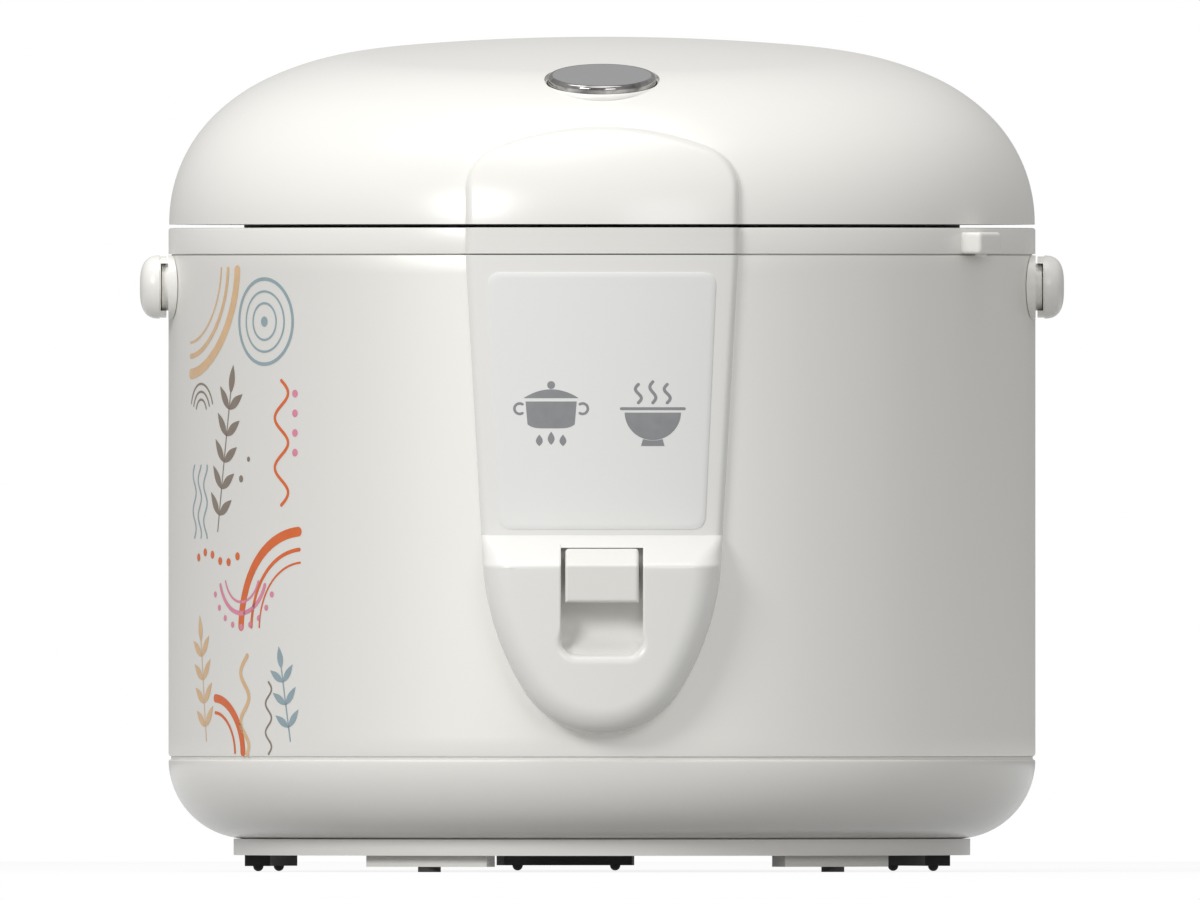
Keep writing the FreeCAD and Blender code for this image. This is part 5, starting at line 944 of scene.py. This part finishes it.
# Each slot's colour, or the setting that holds it, its roughness and the rest of its finish
FINISHES = {
    "cream_plastic": ("cream", 0.2, dict(coat=0.35, vary=0.012, grain=700.0, relief=0.012)),
    "jacket_paint": ("cream", 0.24, dict(coat=0.28, vary=0.012, grain=420.0, relief=0.02)),
    "panel_plastic": ("panel", 0.22, dict(coat=0.3, vary=0.01, grain=800.0, relief=0.012)),
    "label_film": ("film_tone", 0.3, dict(vary=0.015, grain=1600.0, relief=0.03)),
    "lever_plastic": ("panel", 0.24, dict(coat=0.25, vary=0.012, grain=900.0, relief=0.015)),
    "button_metal": ("metal", 0.3, dict(metal=1.0, vary=0.06, grain=500.0, relief=0.08,
                                        stretch=(0.04, 1.0, 1.0), rough_vary=0.08)),
    "rubber_black": ((0.045, 0.045, 0.046), 0.62, dict(vary=0.2, grain=1500.0, relief=0.25)),
    "silicone": ((0.76, 0.76, 0.74), 0.5, dict(vary=0.03, grain=1200.0, relief=0.1)),
    "steel": ((0.62, 0.62, 0.63), 0.3, dict(metal=1.0, vary=0.08, grain=900.0, relief=0.08,
                                            stretch=(0.1, 0.1, 1.0))),
    "pot_metal": ((0.16, 0.16, 0.165), 0.42, dict(metal=0.6, vary=0.35, cloud=2400.0, grain=1800.0,
                                                  relief=0.12)),
    "heater_metal": ((0.66, 0.66, 0.67), 0.45, dict(metal=1.0, vary=0.1, grain=700.0, relief=0.25)),
    "sheet_metal": ((0.7, 0.7, 0.7), 0.28, dict(metal=1.0, vary=0.05, grain=600.0, relief=0.06,
                                                stretch=(1.0, 0.06, 1.0))),
    "dark_plastic": ((0.05, 0.05, 0.055), 0.45, dict(vary=0.15, grain=2200.0, relief=0.2)),
    "brass": ((0.72, 0.55, 0.26), 0.28, dict(metal=1.0, vary=0.08, grain=800.0, relief=0.06)),
    "board": ((0.05, 0.2, 0.09), 0.4, dict(vary=0.35, cloud=420.0, grain=900.0, relief=0.1)),
    "lamp": ((0.9, 0.42, 0.25), 0.12, dict(clear=0.7, vary=0.05, grain=600.0, relief=0.02)),
    "clear_plastic": ((0.86, 0.89, 0.89), 0.12, dict(clear=0.85, vary=0.02, grain=500.0, relief=0.03,
                                                     ior=1.49)),
}


def node_tree(owner):
    """Turns on the nodes of a material or a world."""
    owner.use_nodes = True
    return owner.node_tree


def fitted(tree, kind, inputs):
    """The node of that name, or a new one of that kind; its inputs are linked to sockets or set."""
    made = tree.nodes.get(kind) or tree.nodes.new(kind)
    for name, value in inputs.items():
        if isinstance(value, bpy.types.NodeSocket):
            tree.links.new(value, made.inputs[name])
        else:
            made.inputs[name].default_value = value
    return made


def between(tree, share, low, high):
    """A value that goes from low to high with the share."""
    made = fitted(tree, "ShaderNodeMapRange", {"Value": share, "To Min": low, "To Max": high})
    return made.outputs["Result"]


def surface(name, colour, rough, **more):
    """One procedural finish on Object coordinates.

    A cloud of tone, a grain that moves roughness and a fine relief come from noise, each at its own scale.
    Stretch draws the grain out along an axis, as on brushed metal.
    """
    found = bpy.data.materials.get(name)
    if found:
        return found
    finish = bpy.data.materials.new(name)
    tree = node_tree(finish)
    spot = fitted(tree, "ShaderNodeTexCoord", {}).outputs["Object"]
    stretch = more.get("stretch", (1.0, 1.0, 1.0))
    drawn = fitted(tree, "ShaderNodeMapping", {"Vector": spot, "Scale": stretch}).outputs["Vector"]

    def noise(scale, detail):
        """Noise of one scale and detail on the drawn coordinates."""
        made = fitted(tree, "ShaderNodeTexNoise", {"Vector": drawn, "Scale": scale, "Detail": detail})
        return made.outputs["Fac"]

    tone = fitted(tree, "ShaderNodeValToRGB", {"Fac": noise(more.get("cloud", 60.0), 3.0)})
    depth, swing = more["vary"], more.get("rough_vary", 0.04)
    for stop, position, share in zip(tone.color_ramp.elements, (0.3, 0.7), (1 - depth, 1 + depth)):
        stop.position = position
        stop.color = [min(c * share, 1) for c in colour[:3]] + [1]
    grain = noise(more["grain"], 4.0)
    relief = fitted(tree, "ShaderNodeBump", {"Height": grain, "Strength": more["relief"], "Distance": 0.0002})
    fitted(tree, "Principled BSDF", {
        "Base Color": tone.outputs["Color"],
        "Roughness": between(tree, grain, max(rough - swing, 0.02), rough + swing),
        "Normal": relief.outputs["Normal"],
        "Metallic": more.get("metal", 0.0),
        "Coat Weight": more.get("coat", 0.0),
        "Coat Roughness": 0.05,
        "Transmission Weight": more.get("clear", 0.0),
        "IOR": more.get("ior", 1.48),
    })
    return finish


def finish_for(slot, look):
    """The finish of a material slot of the record."""
    colour, rough, more = FINISHES[slot]
    if isinstance(colour, str):
        colour = getattr(look, colour)
    return surface(slot, colour, rough, **more)


def ink(name, colour):
    """Printing ink: flat colour with a little mottle and a soft sheen."""
    return surface(name, colour, 0.34, vary=0.05, cloud=300.0, grain=2000.0, relief=0.04, coat=0.2)


# Stage


def lamp(name, place, target, size, power):
    """A square soft light that looks at a point."""
    light = bpy.data.lights.new(name, "AREA")
    light.energy = power
    light.size = size
    thing = bpy.data.objects.new(name, light)
    bpy.context.scene.collection.objects.link(thing)
    way = Vector(target) - Vector(place)
    thing.matrix_world = Matrix.Translation(place) @ way.to_track_quat("-Z", "Y").to_matrix().to_4x4()


def seen_rays(tree):
    """One where the camera, a mirror or clear plastic looks, nothing for light that falls on the object."""
    path = fitted(tree, "ShaderNodeLightPath", {})
    total = path.outputs["Is Camera Ray"]
    for kind in ("Is Glossy Ray", "Is Transmission Ray"):
        top = fitted(tree, "ShaderNodeMath", {0: total, 1: path.outputs[kind]})
        top.operation = "MAXIMUM"
        total = top.outputs[0]
    return total


def floor_finish():
    """A pale floor: matt white that takes the shadow, lifted towards the white air where it is looked at."""
    finish = bpy.data.materials.new("floor")
    tree = node_tree(finish)
    tree.nodes.clear()
    seen = seen_rays(tree)
    matt = fitted(tree, "ShaderNodeBsdfDiffuse", {"Color": between(tree, seen, *FLOOR_TONES)})
    glow = fitted(tree, "ShaderNodeEmission", {})
    share = between(tree, seen, 0.0, FLOOR_GLOW)
    mix = fitted(tree, "ShaderNodeMixShader", {"Fac": share, 1: matt.outputs[0], 2: glow.outputs[0]})
    fitted(tree, "ShaderNodeOutputMaterial", {"Surface": mix.outputs[0]})
    return finish


def studio_air(strength):
    """White where it is looked at, and an even soft light of the given strength for the object."""
    world = bpy.data.worlds.new("studio_air")
    tree = node_tree(world)
    seen = fitted(tree, "ShaderNodeLightPath", {}).outputs["Is Camera Ray"]
    white, level = (1.0, 1.0, 1.0, 1.0), between(tree, seen, strength, 1.0)
    fitted(tree, "Background", {"Color": white, "Strength": level})
    return world


# Settings


def colour_setting(name, description, default):
    """A colour in the panel of settings."""
    return bpy.props.FloatVectorProperty(
        name=name, description=description, subtype="COLOR", size=3, min=0.0, max=1.0, default=default)


def number_setting(name, description, default, **more):
    """A number in the panel of settings."""
    return bpy.props.FloatProperty(name=name, description=description, default=default, **more)


class CookerLook(bpy.types.PropertyGroup):
    """Sizes and colours of the cooker's looks."""

    cream: colour_setting("Cream", "Colour of shells and jacket", (0.86, 0.845, 0.80))
    panel: colour_setting("Panel", "Colour of the front panel and the lever", (0.865, 0.85, 0.815))
    film_tone: colour_setting("Film tone", "Colour of the panel's film", (0.93, 0.91, 0.875))
    metal: colour_setting("Button metal", "Colour of the lid button's disc", (0.27, 0.268, 0.265))
    sign: colour_setting("Signs", "Colour of the two signs on the panel", (0.28, 0.285, 0.295))
    orange: colour_setting("Orange ink", "First ink of the printed band", (0.74, 0.15, 0.035))
    peach: colour_setting("Peach ink", "Second ink of the printed band", (0.76, 0.51, 0.29))
    blue: colour_setting("Blue ink", "Third ink of the printed band", (0.31, 0.41, 0.45))
    pink: colour_setting("Pink ink", "Fourth ink of the printed band", (0.76, 0.27, 0.38))
    taupe: colour_setting("Taupe ink", "Fifth ink of the printed band", (0.26, 0.21, 0.17))
    tongue_edge: number_setting("Tongue edge", "Rounding of the lid tongue's edge", 0.0022,
                                unit="LENGTH", min=0.0005, max=0.0028)
    film: number_setting("Film", "Thickness of the panel's film", 0.0003,
                         unit="LENGTH", min=0.0001, max=0.0005)
    print_start: number_setting("Print start", "Left edge of the printed band, from the front",
                                radians(-71.8), subtype="ANGLE")
    key_power: number_setting("Key light", "Power of the light at the left", 45.0, unit="POWER", min=0.0)
    fill_power: number_setting("Fill light", "Power of the light at the right", 15.0, unit="POWER", min=0.0)
    top_power: number_setting("Top light", "Power of the light above", 25.5, unit="POWER", min=0.0)
    air: number_setting("Air", "Strength of the even light from all round", 0.42, min=0.0)
    lens: number_setting("Lens", "Focal length of the long lens", 5000.0, unit="CAMERA", min=50.0)


# Operators


class COOKER_OT_shells(bpy.types.Operator):
    """Builds the base, the jacket, the rim ring with its tongue, knuckles and bracket, and the caps"""

    bl_idname = "cooker.shells"
    bl_label = "Base, jacket and ring"

    def execute(self, context):
        look = context.scene.cooker_look
        bore, (start, stop) = 1.7, RING_BARRELS
        knuckles = joined(tube_x(bore, -stop, -start), tube_x(bore, start, stop))
        put_piece(look, "base_bowl", base_shape(), "cooker", "cream_plastic", ["base_housing"])
        put_piece(look, "jacket_sheet", jacket_shape(), "cooker", "jacket_paint", ["outer_jacket"])
        put_piece(look, "rim_ring_body", ring_shape(), "cooker", "cream_plastic", ["rim_ring"])
        put_piece(look, "rim_ring_tongue", ring_tongue_shape(), "cooker", "cream_plastic", outward=FRONT)
        put_piece(look, "scoop_bracket", bracket_shape(), "cooker", "cream_plastic")
        put_piece(look, "ring_knuckles", knuckles, "cooker", "cream_plastic")
        put_piece(look, "handle_cap_domes", cap_shape(), "handle", "cream_plastic", ["handle_caps"])
        return {"FINISHED"}


class COOKER_OT_lid(bpy.types.Operator):
    """Builds the lid's dome with its tongue and knuckle"""

    bl_idname = "cooker.lid"
    bl_label = "Lid"

    def execute(self, context):
        look = context.scene.cooker_look
        bore, tongue = 1.8, lid_tongue_shape(look.tongue_edge / MM)
        put_piece(look, "lid_dome", lid_shell_shape(), "lid", "cream_plastic", ["lid_shell"])
        put_piece(look, "lid_tongue", tongue, "lid", "cream_plastic", outward=FRONT)
        put_piece(look, "lid_knuckle", tube_x(bore, -LID_BARREL, LID_BARREL), "lid", "cream_plastic")
        return {"FINISHED"}


class COOKER_OT_button(bpy.types.Operator):
    """Builds the lid button, a brushed disc in a bright bevel, and the sleeve round it"""

    bl_idname = "cooker.button"
    bl_label = "Lid button"

    def execute(self, context):
        look = context.scene.cooker_look
        bright = surface("button_chrome", (0.36, 0.35, 0.34), 0.12, metal=1.0, vary=0.55, cloud=160.0,
                         grain=900.0, relief=0.02)
        up = (0, 0, 1)
        put_piece(look, "button_disc", button_top_shape(), "button", "button_metal", ["lid_button"], up)
        put_piece(look, "button_sleeve", well_shape(), "lid", "cream_plastic", ["button_well"])
        put_piece(look, "button_bevel", button_rim_shape(), "button", "button_metal", finish=bright)
        return {"FINISHED"}


class COOKER_OT_panel(bpy.types.Operator):
    """Builds the front panel with its bulge and finger pocket, the film and the two signs"""

    bl_idname = "cooker.panel"
    bl_label = "Front panel"

    def execute(self, context):
        look = context.scene.cooker_look
        film, grey = label_shape(look.film / MM), ink("sign_ink", look.sign)
        put_piece(look, "front_panel_face", panel_shape(), "cooker", "panel_plastic", ["front_panel"], FRONT)
        put_piece(look, "panel_film", film, "cooker", "label_film", ["panel_label"], FRONT)
        put_piece(look, "panel_signs", sign_shapes(), "cooker", "label_film", outward=FRONT, finish=grey)
        return {"FINISHED"}


class COOKER_OT_print(bpy.types.Operator):
    """Lays the printed band round the left of the jacket, one piece per ink"""

    bl_idname = "cooker.print"
    bl_label = "Printed band"

    def execute(self, context):
        look = context.scene.cooker_look
        left = (-0.85, -0.5, 0)
        for name, shapes in print_motifs().items():
            band, tint = round_jacket(shapes, look.print_start), ink("ink_" + name, getattr(look, name))
            put_piece(look, "print_" + name, band, "cooker", "jacket_paint", outward=left, finish=tint)
        return {"FINISHED"}


class COOKER_OT_pot(bpy.types.Operator):
    """Builds the inner pot"""

    bl_idname = "cooker.pot"
    bl_label = "Inner pot"

    def execute(self, context):
        look = context.scene.cooker_look
        put_piece(look, "pot_bowl", pot_shape(), "cooker", "pot_metal", ["inner_pot"])
        return {"FINISHED"}


class COOKER_OT_carried(bpy.types.Operator):
    """Gives every node its finish, and a smooth copy to all that are not replaced yet, but for the springs"""

    bl_idname = "cooker.carried"
    bl_label = "Carried-over pieces"

    def execute(self, context):
        look = context.scene.cooker_look
        taken = {n for piece in bpy.data.objects for n in piece.get("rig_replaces", [])}
        for node, thing in frame["nodes"].items():
            finish = finish_for(SLOTS[node], look)
            thing.data.materials.clear()
            thing.data.materials.append(finish)
            if node not in taken and node not in SPRINGS:
                smooth_copy(node, finish)
        return {"FINISHED"}


class COOKER_OT_stage(bpy.types.Operator):
    """Sets floor, light, air and camera"""

    bl_idname = "cooker.stage"
    bl_label = "Stage"

    def execute(self, context):
        scene, look = context.scene, context.scene.cooker_look
        scene.view_settings.view_transform = "Standard"
        corners = [(-1, -1), (1, -1), (1, 1), (-1, 1)]
        mesh = bpy.data.meshes.new("floor")
        mesh.from_pydata([(x * FLOOR_HALF, y * FLOOR_HALF, 0.0) for x, y in corners], [], [(0, 1, 2, 3)])
        floor = bpy.data.objects.new("floor", mesh)
        scene.collection.objects.link(floor)
        mesh.materials.append(floor_finish())
        scene.world = studio_air(look.air)
        for name, place, target, size, setting in LAMPS:
            lamp(name, place, target, size, getattr(look, setting))
        view = bpy.data.cameras.new("camera")
        view.lens = look.lens
        view.sensor_width = 36.0
        view.clip_end = 100.0
        camera = bpy.data.objects.new("camera", view)
        scene.collection.objects.link(camera)
        camera.location = (VIEW_SIDE, -VIEW_REACH * look.lens / 1000.0, VIEW_HEIGHT)
        camera.rotation_euler = (pi / 2, 0.0, 0.0)
        scene.camera = camera
        return {"FINISHED"}


class COOKER_PT_pieces(bpy.types.Panel):
    """Lists the cooker's operators and its settings"""

    bl_label = "Rice cooker"
    bl_idname = "COOKER_PT_pieces"
    bl_space_type = "VIEW_3D"
    bl_region_type = "UI"
    bl_category = "Cooker"

    def draw(self, context):
        look = context.scene.cooker_look
        for operator in OPERATORS:
            self.layout.operator(operator.bl_idname)
        for setting in look.__annotations__:
            self.layout.prop(look, setting)


OPERATORS = (
    COOKER_OT_shells, COOKER_OT_lid, COOKER_OT_button, COOKER_OT_panel,
    COOKER_OT_print, COOKER_OT_pot, COOKER_OT_carried, COOKER_OT_stage,
)
CLASSES = (CookerLook,) + OPERATORS + (COOKER_PT_pieces,)


def register():
    """Adds the classes and the settings."""
    for kind in CLASSES:
        bpy.utils.register_class(kind)
    bpy.types.Scene.cooker_look = bpy.props.PointerProperty(type=CookerLook)


def unregister():
    """Takes the settings and the classes away again."""
    del bpy.types.Scene.cooker_look
    for kind in reversed(CLASSES):
        bpy.utils.unregister_class(kind)


def main():
    """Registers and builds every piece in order."""
    register()
    bpy.ops.cooker.shells()
    bpy.ops.cooker.lid()
    bpy.ops.cooker.button()
    bpy.ops.cooker.panel()
    bpy.ops.cooker.print()
    bpy.ops.cooker.pot()
    bpy.ops.cooker.carried()
    bpy.ops.cooker.stage()


if __name__ == "__main__":
    main()
